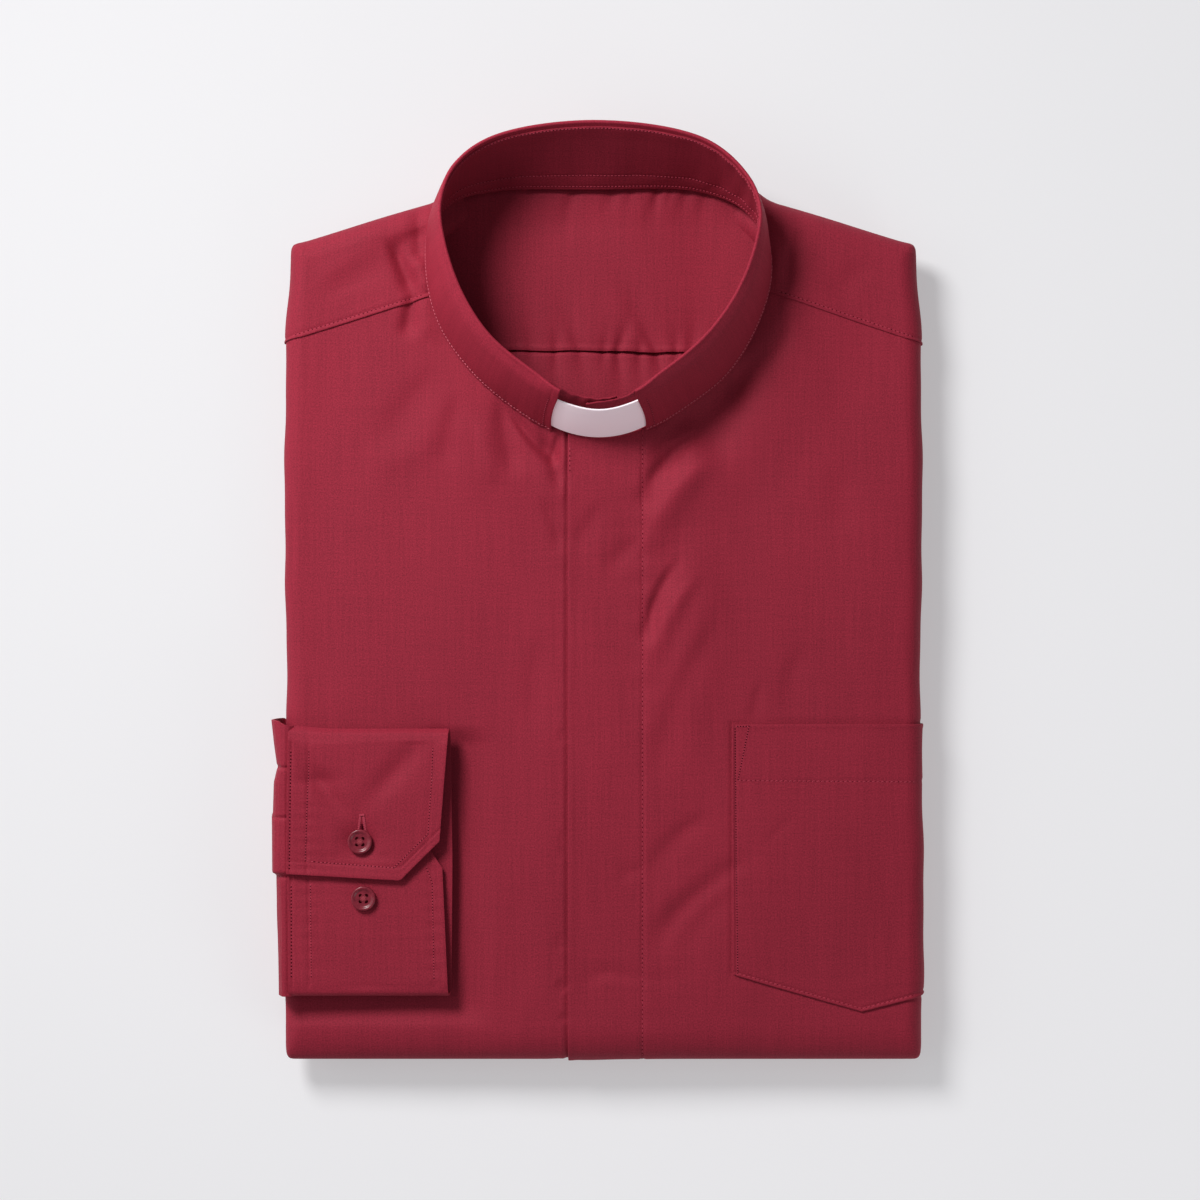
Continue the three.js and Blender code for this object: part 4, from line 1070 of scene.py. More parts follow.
# %% [markdown]
# ## The white tab
# The tab is a strip of stiff white plastic that slides into the collar. A real one is stamped from sheet, so
# its edges are square with a slight round that catches the light.
# %% Tab
TAB_WALL, TAB_TOP = 0.8, 0.775
turns = np.linspace(-1.45, 1.45, 60)
low = 0.035 + 0.045 * np.minimum(np.abs(turns), 1.1) ** 2
heights = mix(low, TAB_TOP, np.linspace(0, 1, 22)[:, None])
jut = 1.1 * np.clip(1 - (turns / 1.05) ** 2, 0, 1) * (1 - heights / TAB_TOP)
tab_points = moved_out(facing_out(band_point(turns / STATIONS, heights)), jut[:, ::-1] - 1.0)
tab = grid_piece("collar_tab_insert", tab_points)
apply_modifier(tab, "SOLIDIFY", thickness=TAB_WALL * MM, offset=-1)
apply_modifier(tab, "BEVEL", width=0.25 * MM, segments=3, limit_method="ANGLE")
bpy.ops.object.shade_smooth()
dress(tab, ["collar_tab"])
print("tab has", len(tab.data.polygons), "faces")

# %% [markdown]
# ## The tab's plastic
# The plastic is satin white. A faint glow is painted light: it brightens the tab, whose face turns away from
# the window light. A very fine bump breaks the highlight, as the skin of a stamped part does.
# %% Tab material
tab_white, tree, shader = new_material("tab_white")
# The emission is painted light, a glow that brightens the tab.
set_sockets(shader, Base_Color=linear(252, 238, 245), Emission_Color=(1.0, 0.84, 0.92, 1),
            Emission_Strength=0.14, Roughness=0.38)
haze = noise_on(tree, object_place(tree), Scale=900, Detail=3)
relief_on(tree, haze, shader, strength=0.12, distance=0.00005)
tab.data.materials.append(tab_white)
print("tab finish:", tab_white.name)

# %% [markdown]
# ## The cuff
# The cuff is a stiffened strip, buttoned into a loop and pressed flat. It is followed here from the cut
# corner of the end that shows on top, over the far fold, back along the layer underneath, and round to the
# end below. Its columns run across the cuff, from the sleeve seam to the hem.
# %% The cuff's path
CUFF_CORNER = 0.745
TOP_ENDS, UNDER_STARTS = 0.21, 0.69
TOP_FOLD_Y, UNDER_FOLD_Y = -64.0, -171.0
CUFF_LAYERS = np.array([
    # share of the way, y, z, seam x, hem x
    (0.00, -124, 34.6, -141.9, -72.9),
    (0.13, -86, 34.8, -141.5, -71.6),
    (0.21, -64, 34.2, -141.1, -69.8),
    (0.225, -59.6, 33.2, -141.0, -69.5),
    (0.235, -57.6, 30.4, -141.0, -69.2),
    (0.245, -59.2, 27.9, -141.2, -68.8),
    (0.26, -64, 27.0, -141.4, -68.6),
    (0.45, -118, 27.4, -142.0, -67.8),
    (0.64, -171, 27.4, -141.4, -68.3),
    (0.655, -176.2, 28.4, -141.2, -68.6),
    (0.665, -177.5, 30.6, -141.0, -69.2),
    (0.675, -175.8, 32.2, -141.0, -69.6),
    (0.69, -171, 32.7, -141.0, -69.8),
    (0.77, -148, 32.6, -141.2, -70.8),
    (0.86, -121, 32.1, -141.6, -71.9),
    (1.00, -100, 31.0, -141.6, -72.6),
])


def cuff_end(share, seam, corner, hem):
    bent = mix(corner, hem, (share - CUFF_CORNER) / (1 - CUFF_CORNER))
    return np.where(share < CUFF_CORNER, mix(seam, corner, share / CUFF_CORNER), bent)


across = spaced(0, 70, 1.3, 0.35, 4.5, marks=(9,)) / 70
top_end = cuff_end(across, -122.4, -125.2, -107.8)
under_end = cuff_end(across, -93.0, -93.7, -120.0)
way = np.concatenate([spaced(0, TOP_ENDS, 0.0036, 0.001, 0.022, (True, False)), np.linspace(0.213, 0.26, 16),
                      np.linspace(0.27, 0.63, 60), np.linspace(0.64, UNDER_STARTS, 16), np.linspace(0.695, 1, 60)])
way_down = way[:, None]
y, z, seam_x, hem_x = (column[:, None] for column in read_off(way, CUFF_LAYERS[:, 0], CUFF_LAYERS[:, 1:]).T)
top_share = np.clip(way_down / TOP_ENDS, 0, 1)
under_share = np.clip((way_down - UNDER_STARTS) / (1 - UNDER_STARTS), 0, 1)
y = np.where(way_down <= TOP_ENDS, mix(top_end[None, :], TOP_FOLD_Y, top_share), y)
y = np.where(way_down >= UNDER_STARTS, mix(UNDER_FOLD_Y, under_end[None, :], under_share), y)
hem_x = np.where(way_down <= TOP_ENDS, mix(-73.3, -69.8, top_share), hem_x)
hem_x = np.where(way_down >= UNDER_STARTS, mix(-69.8, -72.2, under_share), hem_x)
x = mix(seam_x, hem_x, across[None, :])
y = y + 1.3 * ease(-120, -141, x) * bump(way_down, 0.235, 0.03)
points = np.stack([x, y, z + 0 * x], axis=-1)
print("the cuff is followed through", len(way), "rows")

# %% [markdown]
# ## How the cuff is pressed
# Stiff cloth dents where a button pulls it down, and two dents run on from there to the fold. The rows of
# stitching draw thin grooves beside each edge, and the cloth stands up a little outside them.
# %% Cuff
BUTTON_X, BUTTON_Y = -108.8, -107.9
SPARE_X, SPARE_Y = -107.3, -133.4
on_top, under = way_down <= 0.212, way_down >= 0.68
from_button = np.hypot(x - BUTTON_X, y - BUTTON_Y)
press = on_top * (
    -2.3 * bump(x + 0.9 * (y + 84), -125, 6.5) * bump(x, -125, 12)
    - 1.7 * bump(x - 1.1 * (y + 80), -97, 8.0) * bump(x, -94, 12)
    - 1.1 * bump(x, -128, 9) * bump(y, -80.5, 3.4)
    - 0.35 * bump(x, -122, 7) * bump(y, -115.5, 2.2)
    - 0.3 * bump(x, -99, 4) * bump(y, -115, 2.2)
    + 0.5 * ease(-112, -124, y) * bump(x, -104, 26)
    + 0.25 * np.sin(x / 11 + 1) * np.sin(y / 15)
)
press += under * (-0.3 * bump(x + 0.5 * (y + 150), -118, 7) + 0.2 * np.sin(x / 13) * np.sin(y / 17))
press -= (2.6 * on_top + 1.1 * under) * np.exp(-((from_button / 8.0) ** 2))
end_gap = np.where(on_top, y - top_end[None, :], np.where(under, under_end[None, :] - y, 99.0))
hem_gap = np.where(on_top | under, hem_x - x, 99.0)
seam_gap = x - seam_x
press += 0.2 * np.maximum(bump(end_gap, 0.9, 1.4), bump(hem_gap, 0.9, 1.4))
press -= 0.3 * np.maximum(bump(end_gap, 5.7, 0.7), bump(hem_gap, 5.6, 0.7))
press -= (0.3 * bump(seam_gap, 9.3, 0.8) + 0.3 * bump(seam_gap, 1.8, 0.7)) * (on_top | under)
press += pucker(y, seam_gap - 9.3, 6, 0.2, 3.5) * (on_top | under) + pucker(y, hem_gap - 5.6, 6, 0.2, 3.0, 1.3)
fold_row = int(np.searchsorted(way, 0.235))
cuff = cloth_piece("cuff_cloth", moved_out(points, press), wall=1.0, edge=0.35, material=shirt_poplin, level=fold_row)
dress(cuff, ["cuff"])

# %% [markdown]
# ## The end of the sleeve
# The sleeve is pleated into the cuff, so a strip of it shows beside the cuff's seam and rolls away over the
# side of the bundle. The pleats make small steps along its outline.
# %% Sleeve
PLEATS = (-123.2, -96.6, -74.2)
SLEEVE_SECTION = np.array([(-138.6, 31.6), (-140.6, 33.4), (-142.6, 33.9), (-145.2, 33.3), (-147.4, 31.4),
                           (-148.9, 27.6), (-149.4, 21), (-149.2, 11), (-148.4, 5.6), (-146.4, 2.4), (-142.6, 1.3)])
SLEEVE_EDGE = np.array([(-177.6, -2.9), (-150, -2.4), (-124, -1.7), (-123.2, -1.2), (-122.4, -0.1), (-97.4, 0.1),
                        (-96.6, -0.1), (-95.8, -0.35), (-82, -0.8), (-75, -2.4), (-74.2, -2.5), (-73.4, -2.1),
                        (-64, -0.8), (-54, 0.3)])
around = np.linspace(0, len(SLEEVE_SECTION) - 1, 46)
section = read_off(around, np.arange(len(SLEEVE_SECTION)), SLEEVE_SECTION)
ys = spaced(-177.6, -54, 1.1, 0.5, 4, marks=PLEATS)
out = np.interp(ys, SLEEVE_EDGE[:, 0], SLEEVE_EDGE[:, 1])[:, None]
x = section[None, :, 0] - out * ease(-142.6, -148.4, section[None, :, 0])
z = section[None, :, 1] - 1.9 * ease(-121.4, -123.4, ys)[:, None] * ease(20, 30, section[None, :, 1])
slant = -2.3 * ease(-148, -140, x) * ease(-66, -54, ys)[:, None]
points = np.stack([x, ys[:, None] + slant, z], axis=-1)[:, ::-1]
wander = 0.25 * np.sin(points[..., 1] / 7) * np.sin(points[..., 2] / 5 + 1)
for step_y in PLEATS:
    wander = wander - 0.7 * bump(points[..., 1], step_y - 0.8, 0.7) * ease(24, 31, points[..., 2])
sleeve = cloth_piece("sleeve_cloth", moved_out(points, wander), wall=1.3, edge=0.4, material=shirt_poplin)
dress(sleeve, ["sleeve"])

# %% [markdown]
# ## Buttons
# Shirt buttons are cast resin with a raised rim, a dished middle and four holes. One is modelled from a
# cylinder: three insets of its top face make the rim and the dish, and a bevel softens every edge.
# %% Button
BUTTON_RADIUS, BUTTON_HIGH = 5.45, 2.3
HOLE_RADIUS, HOLE_OFF = 0.82, 1.32


def select_top_face(mesh, inner):
    """Selects the faces that look up within a radius, in edit mode."""
    bpy.ops.object.mode_set(mode="OBJECT")
    for face in mesh.polygons:
        face.select = face.normal.z > 0.9 and math.hypot(face.center.x, face.center.y) < inner * MM
    for edge in mesh.edges:
        edge.select = False
    bpy.ops.object.mode_set(mode="EDIT")


clear_selection()
bpy.ops.mesh.primitive_cylinder_add(vertices=48, radius=BUTTON_RADIUS * MM, depth=BUTTON_HIGH * MM)
button = bpy.context.object
button.name = button.data.name = "cuff_button"
bpy.ops.object.mode_set(mode="EDIT")
bpy.ops.mesh.select_mode(type="FACE")
select_top_face(button.data, 1.0)
bpy.ops.mesh.inset(thickness=1.1 * MM, depth=0)
bpy.ops.mesh.inset(thickness=0.6 * MM, depth=-0.65 * MM)
bpy.ops.mesh.inset(thickness=1.2 * MM, depth=-0.1 * MM)
bpy.ops.object.mode_set(mode="OBJECT")
apply_modifier(button, "BEVEL", width=0.45 * MM, segments=3, limit_method="ANGLE", angle_limit=math.radians(40))
print("button blank has", len(button.data.polygons), "faces")

# %% [markdown]
# ## Four holes
# Each hole is drilled with a small cylinder and a boolean difference, one after the other, as on a jig. Real
# holes show the dark inside and let the thread run down into them.
# %% Drill the button
def make_active(piece):
    clear_selection()
    piece.select_set(True)
    bpy.context.view_layer.objects.active = piece


for side_x in (-1, 1):
    for side_y in (-1, 1):
        clear_selection()
        bpy.ops.mesh.primitive_cylinder_add(vertices=20, radius=HOLE_RADIUS * MM, depth=6 * MM,
                                            location=(side_x * HOLE_OFF * MM, side_y * HOLE_OFF * MM, 0))
        drill = bpy.context.object
        make_active(button)
        apply_modifier(button, "BOOLEAN", operation="DIFFERENCE", object=drill, solver="EXACT")
        bpy.data.objects.remove(drill)
bpy.ops.object.shade_smooth_by_angle(angle=math.radians(35))
print("button has", len(button.data.polygons), "faces")

# %% [markdown]
# ## Button resin
# Cast resin is cloudy. A soft swirl of two close tones gives that, and it is the glossiest thing here.
# %% Button resin
resin, tree, shader = new_material("button_resin")
swirl = noise_on(tree, object_place(tree), Scale=420, Detail=3, Distortion=1.5)
two_tones(tree, swirl, shader, linear(112, 27, 42), linear(136, 38, 54), 0.35, 0.7)
set_sockets(shader, Roughness=0.3, Specular_IOR_Level=0.45)
button.data.materials.clear()
button.data.materials.append(resin)
print("button finish:", resin.name)

# %% [markdown]
# ## Two buttons on the cuff
# One button closes the cuff, and the other is there for a tighter wrist. Each copy gets its own mesh and its
# place is applied, so that the finished object sits at the origin.
# %% Place both buttons
def add_object(name, data):
    added = bpy.data.objects.new(name, data)
    bpy.context.collection.objects.link(added)
    return added


BUTTON_PLACES = [("cuff_button_on_flap", "cuff_button_fastened", BUTTON_X, BUTTON_Y, 33.7),
                 ("cuff_button_below", "cuff_button_spare", SPARE_X, SPARE_Y, 32.7)]
for name, node, x, y, z in BUTTON_PLACES:
    copy = add_object(name, button.data.copy())
    copy.data.name = name
    make_active(copy)
    copy.location = (x * MM, y * MM, (z + BUTTON_HIGH / 2) * MM)
    bpy.ops.object.transform_apply(location=True, rotation=True, scale=True)
    dress(copy, [node])
    print(name, "at", (x, y))
bpy.data.objects.remove(button)

# %% [markdown]
# ## Threads
# The thread is polyester, with a little less bloom than the cloth and two tones from its twist. The row at
# the collar's foot catches the light, so it gets a paler copy of the thread, a painted highlight. The cord of
# the buttons is matt, and a needle hole is only a dark dot, painted shade.
# %% Threads
def plain_finish(name, colour, **settings):
    material, _, shader = new_material(name)
    set_sockets(shader, Base_Color=linear(*colour), **settings)
    return material


thread, tree, shader = new_material("sewing_thread")
twist = noise_on(tree, object_place(tree), Scale=2600)
two_tones(tree, twist, shader, linear(150, 40, 60), linear(196, 76, 96))
set_sockets(shader, Roughness=0.6, Specular_IOR_Level=0.15)
# A paler copy of the thread: painted highlight for the row at the collar's foot.
painted_lit_thread = plain_finish("painted_lit_thread", (204, 98, 116), Roughness=0.6)
button_cord = plain_finish("button_cord", (156, 46, 62), Roughness=0.7)
# A needle hole is a dark disc, painted shade where the hole would be.
needle_hole_painted_shade = plain_finish("needle_hole_painted_shade", (60, 6, 18), Roughness=1.0, Specular_IOR_Level=0.0)
print("threads:", thread.name, painted_lit_thread.name, button_cord.name)

# %% [markdown]
# ## One stitch
# Every seam is held by a row of lockstitches, from 1.2 to 2.1 mm apart. One stitch is a tiny drawn-out ball
# that sinks half into the cloth, and one needle hole is a thin dark disc, painted shade. Both are modelled
# once, with few faces, because they are repeated hundreds of times.
# %% One stitch
def unit_form(operator, **settings):
    """Points and faces of a small primitive, to be repeated along a seam."""
    clear_selection()
    operator(**settings)
    bpy.ops.object.transform_apply(location=True, rotation=True, scale=True)
    form = bpy.context.object
    points = np.array([v.co for v in form.data.vertices])
    faces = [list(f.vertices) for f in form.data.polygons]
    bpy.data.objects.remove(form)
    return points, faces


stitch_points, stitch_faces = unit_form(
    bpy.ops.mesh.primitive_uv_sphere_add, segments=6, ring_count=6, radius=0.5, rotation=(0, math.pi / 2, 0))
hole_points, hole_faces = unit_form(bpy.ops.mesh.primitive_cylinder_add, vertices=7, radius=0.5, depth=1)
print("one stitch has", len(stitch_faces) + len(hole_faces), "faces")

# %% [markdown]
# ## Finding a seam on the cloth
# A seam is a line of places on a finished grid. find_on turns places seen from above into fractional columns
# and rows, and line_on reads the cloth's surface and its outward direction there, so that a stitch lies in
# the crease it makes.
# %% Find a seam
def line_on(name, columns, rows):
    """Points and outward directions along a path of fractional columns and rows of a piece's grid."""
    grid = CLOTH[name]
    normals = grid_normals(grid)
    c = np.clip(columns, 0, grid.shape[1] - 1.001)
    r = np.clip(rows, 0, grid.shape[0] - 1.001)
    ci, ri = c.astype(int), r.astype(int)
    cf, rf = (c - ci)[:, None], (r - ri)[:, None]

    def sample(values):
        low = mix(values[ri, ci], values[ri, ci + 1], cf)
        high = mix(values[ri + 1, ci], values[ri + 1, ci + 1], cf)
        return mix(low, high, rf)

    return sample(grid), sample(normals)


def find_on(name, x, y, rows=None):
    """Fractional columns and rows of the places x, y on a piece that lies flat."""
    grid = CLOTH[name]
    first, last = rows or (0, grid.shape[0])
    part = grid[first:last]
    middle = part[part.shape[0] // 2, :, 0]
    columns, found = [], []
    for px, py in zip(x, y):
        column = np.interp(px, middle, np.arange(len(middle)))
        for _ in range(3):
            near = int(min(column, len(middle) - 2))
            line = mix(part[:, near], part[:, near + 1], column - near)
            order = 1 if line[-1, 1] > line[0, 1] else -1
            row = np.interp(py, line[::order, 1], np.arange(len(line))[::order])
            low = int(min(row, part.shape[0] - 2))
            across_line = mix(part[low], part[low + 1], row - low)[:, 0]
            column = np.interp(px, across_line, np.arange(len(middle)))
        columns.append(column)
        found.append(row + first)
    return np.array(columns), np.array(found)


def straight(x1, y1, x2, y2, gap=1.0):
    count = max(2, int(math.hypot(x2 - x1, y2 - y1) / gap))
    return np.linspace(x1, x2, count), np.linspace(y1, y2, count)


def seam_on(name, x1, y1, x2, y2, rows=None):
    x, y = straight(x1, y1, x2, y2)
    return line_on(name, *find_on(name, x, y, rows))


print("the placket's row at x 0, y 0 is", round(float(find_on("placket_cloth", [0.0], [0.0])[1][0]), 1))

# %% [markdown]
# ## Sewing a row
# Stitches are spread evenly along each seam and turned to follow it. No two are quite the same length. Each
# seam's stitches and holes are joined into one light mesh with two finishes, the thread and the painted
# shade of the needle holes.
# %% Sew
def sew(name, seams, pitch=1.5, length=1.05, thick=0.4, sink=0.05, hole=0.5, slant=0.0):
    """Stitches along each seam: a list of (points, normals) in millimetres."""
    all_points, all_faces, kinds = [], [], []
    placed_count = 0
    for points, normals in seams:
        steps = np.concatenate([[0], np.cumsum(np.linalg.norm(np.diff(points, axis=0), axis=1))])
        count = max(1, int(steps[-1] / pitch))
        at = (np.arange(count) + 0.5) * steps[-1] / count
        centre, normal = read_off(at, steps, points), read_off(at, steps, normals)
        tangent = read_off(at + 0.4, steps, points) - read_off(at - 0.4, steps, points)
        tangent /= np.maximum(np.linalg.norm(tangent, axis=1, keepdims=True), 1e-6)
        side = np.cross(normal, tangent)
        side /= np.maximum(np.linalg.norm(side, axis=1, keepdims=True), 1e-6)
        for k in range(count):
            wobble = 1 + 0.08 * math.sin(k * 2.3)
            heading = tangent[k] + slant * side[k]
            heading /= np.linalg.norm(heading)
            square_to = np.cross(normal[k], heading)
            forms = [(stitch_points, stitch_faces, (length * wobble, thick, thick * 0.8), 0.0, -sink, 0)]
            # Each needle hole is a dark disc of painted shade.
            if hole:
                forms.append((hole_points, hole_faces, (hole, hole, 0.12), 0.5 * pitch, 0.0, 1))
            for form_points, form_faces, size, forward, raised, kind in forms:
                shape = form_points * np.array(size)
                place = centre[k] + normal[k] * raised + tangent[k] * forward
                placed = place + shape[:, :1] * heading + shape[:, 1:2] * square_to + shape[:, 2:] * normal[k]
                all_points.append(placed)
                all_faces += [[placed_count + v for v in face] for face in form_faces]
                kinds += [kind] * len(form_faces)
                placed_count += len(placed)
    mesh = bpy.data.meshes.new(name)
    mesh.from_pydata((np.concatenate(all_points) * MM).tolist(), [], all_faces)
    mesh.materials.append(thread)
    mesh.materials.append(needle_hole_painted_shade)
    mesh.polygons.foreach_set("material_index", kinds)
    mesh.polygons.foreach_set("use_smooth", [kind == 0 for kind in kinds])
    piece = add_object(name, mesh)
    dress(piece, [])
    print(f"{name}: {kinds.count(0) // len(stitch_faces)} stitches")
    return piece


print(len(CLOTH), "pieces of cloth to sew")

# %% [markdown]
# ## Sewing the placket and the yoke
# One long row holds the placket down, and a short one starts its free edge under the collar. The yoke is
# top-stitched close to the fold on both shoulders.
# %% Sew the body
rows = np.arange(0, CLOTH["placket_cloth"].shape[0] - 6, 1.0)
last_column = CLOTH["placket_cloth"].shape[1] - 1.0
sew("stitches_placket", [
    line_on("placket_cloth", np.full_like(rows, last_column - 0.9), rows),
    seam_on("placket_cloth", PLACKET_LEFT + 0.9, 69, PLACKET_LEFT + 0.9, 58),
], pitch=2.1, length=1.3)
yoke_seams = []
for x1, x2 in ((-FLAT_EDGE - 6, -82.0), (78.0, FLAT_EDGE + 6)):
    x = np.linspace(x1, x2, 60)
    yoke_seams.append(line_on("yoke_cloth", *find_on("yoke_cloth", x, yoke_seam_y(x) + 1.9)))
sew("stitches_yoke", yoke_seams, pitch=2.0, length=1.3)

# %% [markdown]
# ## Sewing the pocket
# The stitches down the pocket's side are small and close, with a narrow triangle at the mouth where a hand
# would pull. The rows across are longer, and each stitch is slanted a little, as lockstitches lie.
# %% Sew the pocket
POCKET_IN = 1.5
corner = (POCKET_LEFT + POCKET_IN + 1.2, POCKET_CORNER + POCKET_IN * 0.5)
foot = (POCKET_TIP[0], POCKET_TIP[1] + POCKET_IN)
sew("stitches_pocket", [
    seam_on("pocket_cloth", POCKET_LEFT + POCKET_IN, POCKET_TOP - 0.9, POCKET_LEFT + POCKET_IN + 0.3, POCKET_HEM),
    seam_on("pocket_cloth", POCKET_LEFT + POCKET_IN + 0.3, POCKET_HEM, *corner),
    seam_on("pocket_cloth", POCKET_LEFT + POCKET_IN, POCKET_TOP - 0.9, POCKET_LEFT + 7.8, POCKET_TOP - 0.9),
    seam_on("pocket_cloth", POCKET_LEFT + 7.8, POCKET_TOP - 0.9, POCKET_LEFT + 2.9, POCKET_HEM + 0.8),
], pitch=1.2, length=0.8, thick=0.4, hole=0.6)
sew("stitches_pocket_across", [
    seam_on("pocket_cloth", *corner, *foot),
    seam_on("pocket_cloth", *foot, FLAT_EDGE + 5, foot[1] + 0.25 * (FLAT_EDGE + 5 - foot[0])),
    seam_on("pocket_cloth", POCKET_LEFT + 2.5, POCKET_HEM + 0.5, FLAT_EDGE + 6, POCKET_HEM - 0.3),
], pitch=2.05, length=1.5, slant=0.45, hole=0.36)

# %% [markdown]
# ## Sewing the cuff
# The row follows the cuff's edge and cuts the corner with it. The seam beside the sleeve passes through the
# most layers, so it has the widest needle holes.
# %% Sew the cuff
flap_rows = (0, int(np.searchsorted(way, 0.2)))
under_rows = (int(np.searchsorted(way, 0.70)), len(way))
sew("stitches_cuff", [
    seam_on("cuff_cloth", -131.3, -59, -133.3, -116.6, flap_rows),
    seam_on("cuff_cloth", -78.4, -104.4, -76.8, -80, flap_rows),
    seam_on("cuff_cloth", -76.8, -80, -76.0, -59, flap_rows),
    seam_on("cuff_cloth", -93.6, -119.6, -78.4, -104.4, flap_rows),
    seam_on("cuff_cloth", -131.2, -127, -130.6, -175, under_rows),
    seam_on("cuff_cloth", -79.6, -119, -76.7, -127, under_rows),
    seam_on("cuff_cloth", -76.7, -127, -75.7, -175, under_rows),
], pitch=1.3, length=0.9, thick=0.4, sink=-0.02)
sew("stitches_cuff_across", [
    seam_on("cuff_cloth", -133.2, -116.5, -126.9, -117.2, flap_rows),
    seam_on("cuff_cloth", -126.9, -117.2, -93.6, -119.6, flap_rows),
], pitch=1.6, length=1.1, slant=0.2, thick=0.44, sink=-0.02)
sew("stitches_cuff_seam", [
    seam_on("cuff_cloth", -139.6, -60, -140.4, -120, flap_rows),
    seam_on("cuff_cloth", -139.8, -127, -139.6, -175, under_rows),
], pitch=1.5, length=0.9, thick=0.4, hole=0.7)

# %% [markdown]
# ## Sewing the collar
# The band has a row along its foot and one at each end, and three rows run round the inside. A seam on the
# inside is found on the same grid and moved through the wall.
# %% Sew the collar
outer_grid = CLOTH["collar_outer_cloth"]
columns = np.arange(0, outer_grid.shape[1] - 1, 1.0)
bottom_row = float(np.interp(1.1 / BAND_HIGH, outer_heights, np.arange(len(outer_heights))))
end_rows = np.arange(2.0, len(heights) + 5)
band_run = run_length(outer_grid, 1)[len(heights) // 2]
turn_columns = np.interp([4.0, band_run[-1] - 4.0], band_run, np.arange(len(band_run)))
inner_columns = np.arange(0, CLOTH["collar_inner_cloth"].shape[1] - 1, 1.0)


def inner_line(up):
    row = float(np.interp(up / INNER_BAND_HIGH, heights_inner, np.arange(len(heights_inner))))
    points, normals = line_on("collar_inner_cloth", inner_columns, np.full_like(inner_columns, row))
    return points - normals * 0.8, -normals


hem_row = sew("stitches_collar_foot", [
    line_on("collar_outer_cloth", columns, np.full_like(columns, bottom_row)),
], pitch=1.65, length=1.15, thick=0.5, sink=-0.1, hole=0.4)
# The collar's foot row gets the paler thread, a painted highlight.
hem_row.data.materials[0] = painted_lit_thread
sew("stitches_collar", [
    *[line_on("collar_outer_cloth", np.full_like(end_rows, c), end_rows) for c in turn_columns],
    *[inner_line(up) for up in BAND_LINES],
], pitch=1.6, length=1.15, thick=0.5, sink=-0.08, hole=0.4)

# %% [markdown]
# ## The buttonhole
# The buttonhole is a slit with close stitches down both sides and a bar across its end. It opens a little
# toward the button, and every second stitch leans the other way. The slit is a dark bar, painted shade.
# %% Buttonhole
def bars(places, direction):
    """Short paths across a line, one for each bar of thread."""
    lines = []
    for x, y in places:
        centre, normal = line_on("cuff_cloth", *find_on("cuff_cloth", np.array([x]), np.array([y]), flap_rows))
        reach = np.array([direction[0], direction[1], 0.0]) * 0.5
        lines.append((np.array([centre[0] - reach, centre[0] + reach]), np.repeat(normal, 2, axis=0)))
    return lines


hole_top, hole_foot = BUTTON_Y + 11.4, BUTTON_Y + 3.6
hole_x = BUTTON_X + 0.9
side_bars = []
SIDE_STITCHES = 17
for k in range(SIDE_STITCHES):
    down = k / (SIDE_STITCHES - 1)
    y = mix(hole_top - 0.6, hole_foot, down)
    spread = 0.75 + 0.95 * down
    slope = 0.25 if k % 2 else -0.25
    side_bars += bars([(hole_x - spread, y)], (1.0, slope)) + bars([(hole_x + spread, y)], (1.0, -slope))
side_bars += bars([(hole_x + d, hole_top + 0.4) for d in (-0.9, -0.45, 0.0, 0.45, 0.9)], (0.0, 1.0))
sew("stitches_buttonhole", side_bars, pitch=9, length=1.35, thick=0.6, sink=-0.2, hole=0)
# The slit is a dark bar in the needle-hole colour, painted shade where the opening is.
sew("buttonhole_slit_painted_shade", bars([(hole_x, mix(hole_top, hole_foot, 0.62))], (0.0, 1.0)),
    pitch=9, length=5.6, thick=0.9, sink=-0.1, hole=0).data.materials[0] = needle_hole_painted_shade


# %% [markdown]
# ## Thread through the buttons
# Each button is sewn on with a few turns of thread through its four holes, which cross in the middle.
# %% Button thread
def button_thread(name, x, y, z):
    lines = []
    for side in (-1, 1):
        for offset in (-0.3, 0.0, 0.3):
            start = [x - HOLE_OFF + offset, y - side * (HOLE_OFF + offset), z]
            finish = [x + HOLE_OFF + offset, y + side * (HOLE_OFF - offset), z]
            lines.append((np.array([start, finish]), np.array([[0, 0, 1.0]] * 2)))
    sew(name, lines, pitch=9, length=3.5, thick=0.42, sink=-0.08, hole=0).data.materials[0] = button_cord


for name, _, x, y, z in BUTTON_PLACES:
    button_thread(name + "_thread", x, y, z + BUTTON_HIGH * 0.68)
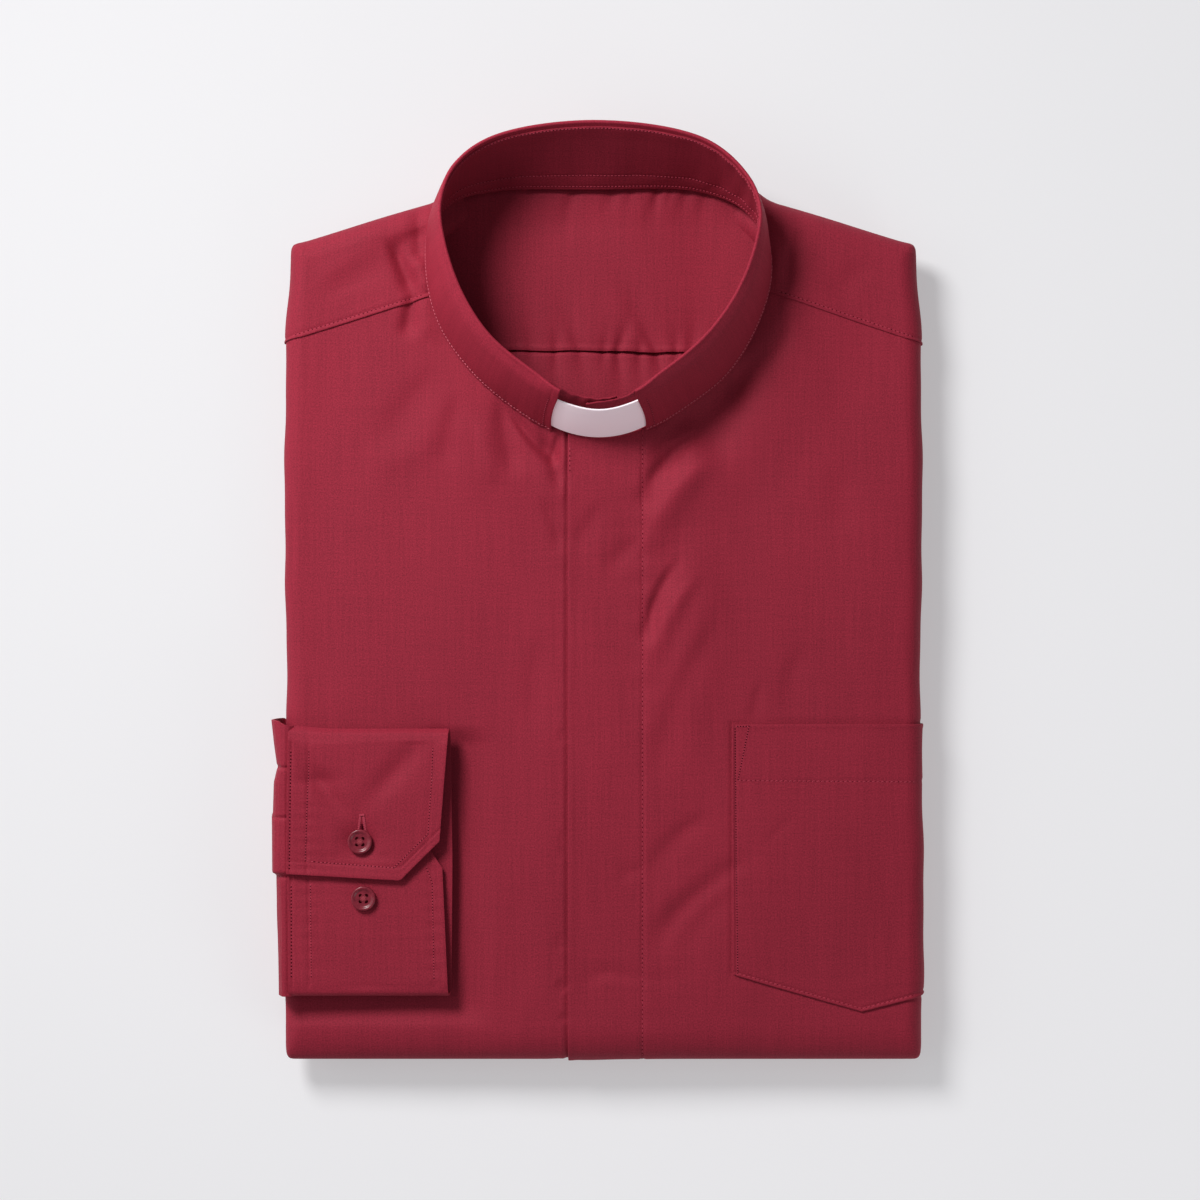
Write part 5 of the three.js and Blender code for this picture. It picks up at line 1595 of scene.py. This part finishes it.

# %% [markdown]
# ## The table
# The shirt lies on a plain pale table. Its tone is painted: a gradient turned by an eighth makes it darker
# near the window light and lighter away from it, evening out the lamp's fall-off, and a low glow, also
# painted light, keeps the shadows on it soft.
# %% Table
clear_selection()
bpy.ops.mesh.primitive_plane_add(size=30)
table = bpy.context.object
table.name = "table"
paper, tree, shader = new_material("pale_table")
spread = tree.nodes.new("ShaderNodeMapping")
set_sockets(spread, Location=(0.5, 0.5, 0), Rotation=(0, 0, math.radians(45)), Scale=(0.55, 0.55, 1))
tree.links.new(object_place(tree), spread.inputs["Vector"])
painted_falloff_gradient = tree.nodes.new("ShaderNodeTexGradient")
tree.links.new(spread.outputs["Vector"], painted_falloff_gradient.inputs["Vector"])
# Painted light: darker near the window light, lighter away from it, to even out the lamp's fall-off.
two_tones(tree, painted_falloff_gradient.outputs["Fac"], shader, (0.31, 0.31, 0.318, 1), (0.72, 0.72, 0.74, 1), 0.2, 0.8)
# The emission is painted light, a glow that lightens the shadows on the table.
set_sockets(shader, Emission_Color=(0.99, 0.985, 1.0, 1), Emission_Strength=0.36, Roughness=0.9,
            Specular_IOR_Level=0.1)
table.data.materials.append(paper)
print("table is", round(table.dimensions.x), "m wide")

# %% [markdown]
# ## Light
# One large soft lamp stands high at the upper left, like a window. Two weak fills and an even pale surround
# keep the folds readable on the far side.
# %% Light
from mathutils import Vector


def soft_light(name, toward, distance, size, energy, colour=(1.0, 0.99, 0.99)):
    lamp = bpy.data.lights.new(name, "AREA")
    lamp.shape = "DISK"
    lamp.size, lamp.energy, lamp.color = size, energy, colour
    light = add_object(name, lamp)
    direction = Vector(toward).normalized()
    light.location = direction * distance
    light.rotation_euler = direction.to_track_quat("Z", "Y").to_euler()
    print(name, "gives", energy, "W")


soft_light("window_light", (-0.50, 0.62, 0.74), 1.25, 0.44, 14.7, (1.0, 0.99, 0.985))
soft_light("side_fill", (-0.78, 0.05, 0.5), 0.9, 0.8, 1.5)
soft_light("front_fill", (0.6, -0.65, 0.3), 1.6, 1.0, 3.8)
world = bpy.data.worlds.new("surround")
bpy.context.scene.world = world
world.use_nodes = True
set_sockets(world.node_tree.nodes["Background"], Color=(0.96, 0.97, 1.0, 1), Strength=0.2)
bpy.context.scene.view_settings.view_transform = "Standard"

# %% [markdown]
# ## Camera
# The camera looks straight down from 1.3 m, a hair to one side of the middle. Its angle comes from half the
# width of the view and the focal length, both in the same units.
# %% Camera
CAMERA_X, CAMERA_HIGH = -0.001575, 1.3
HALF_WIDE, FOCAL = 600, 2833.33
HALF_VIEW = math.atan(HALF_WIDE / FOCAL)
lens = bpy.data.cameras.new("camera")
lens.sensor_fit = "HORIZONTAL"
lens.angle = 2 * HALF_VIEW
camera = add_object("camera", lens)
camera.location = (CAMERA_X, 0, CAMERA_HIGH)
bpy.context.scene.camera = camera
print("camera sees", round(2 * CAMERA_HIGH * math.tan(HALF_VIEW), 3), "m of table")
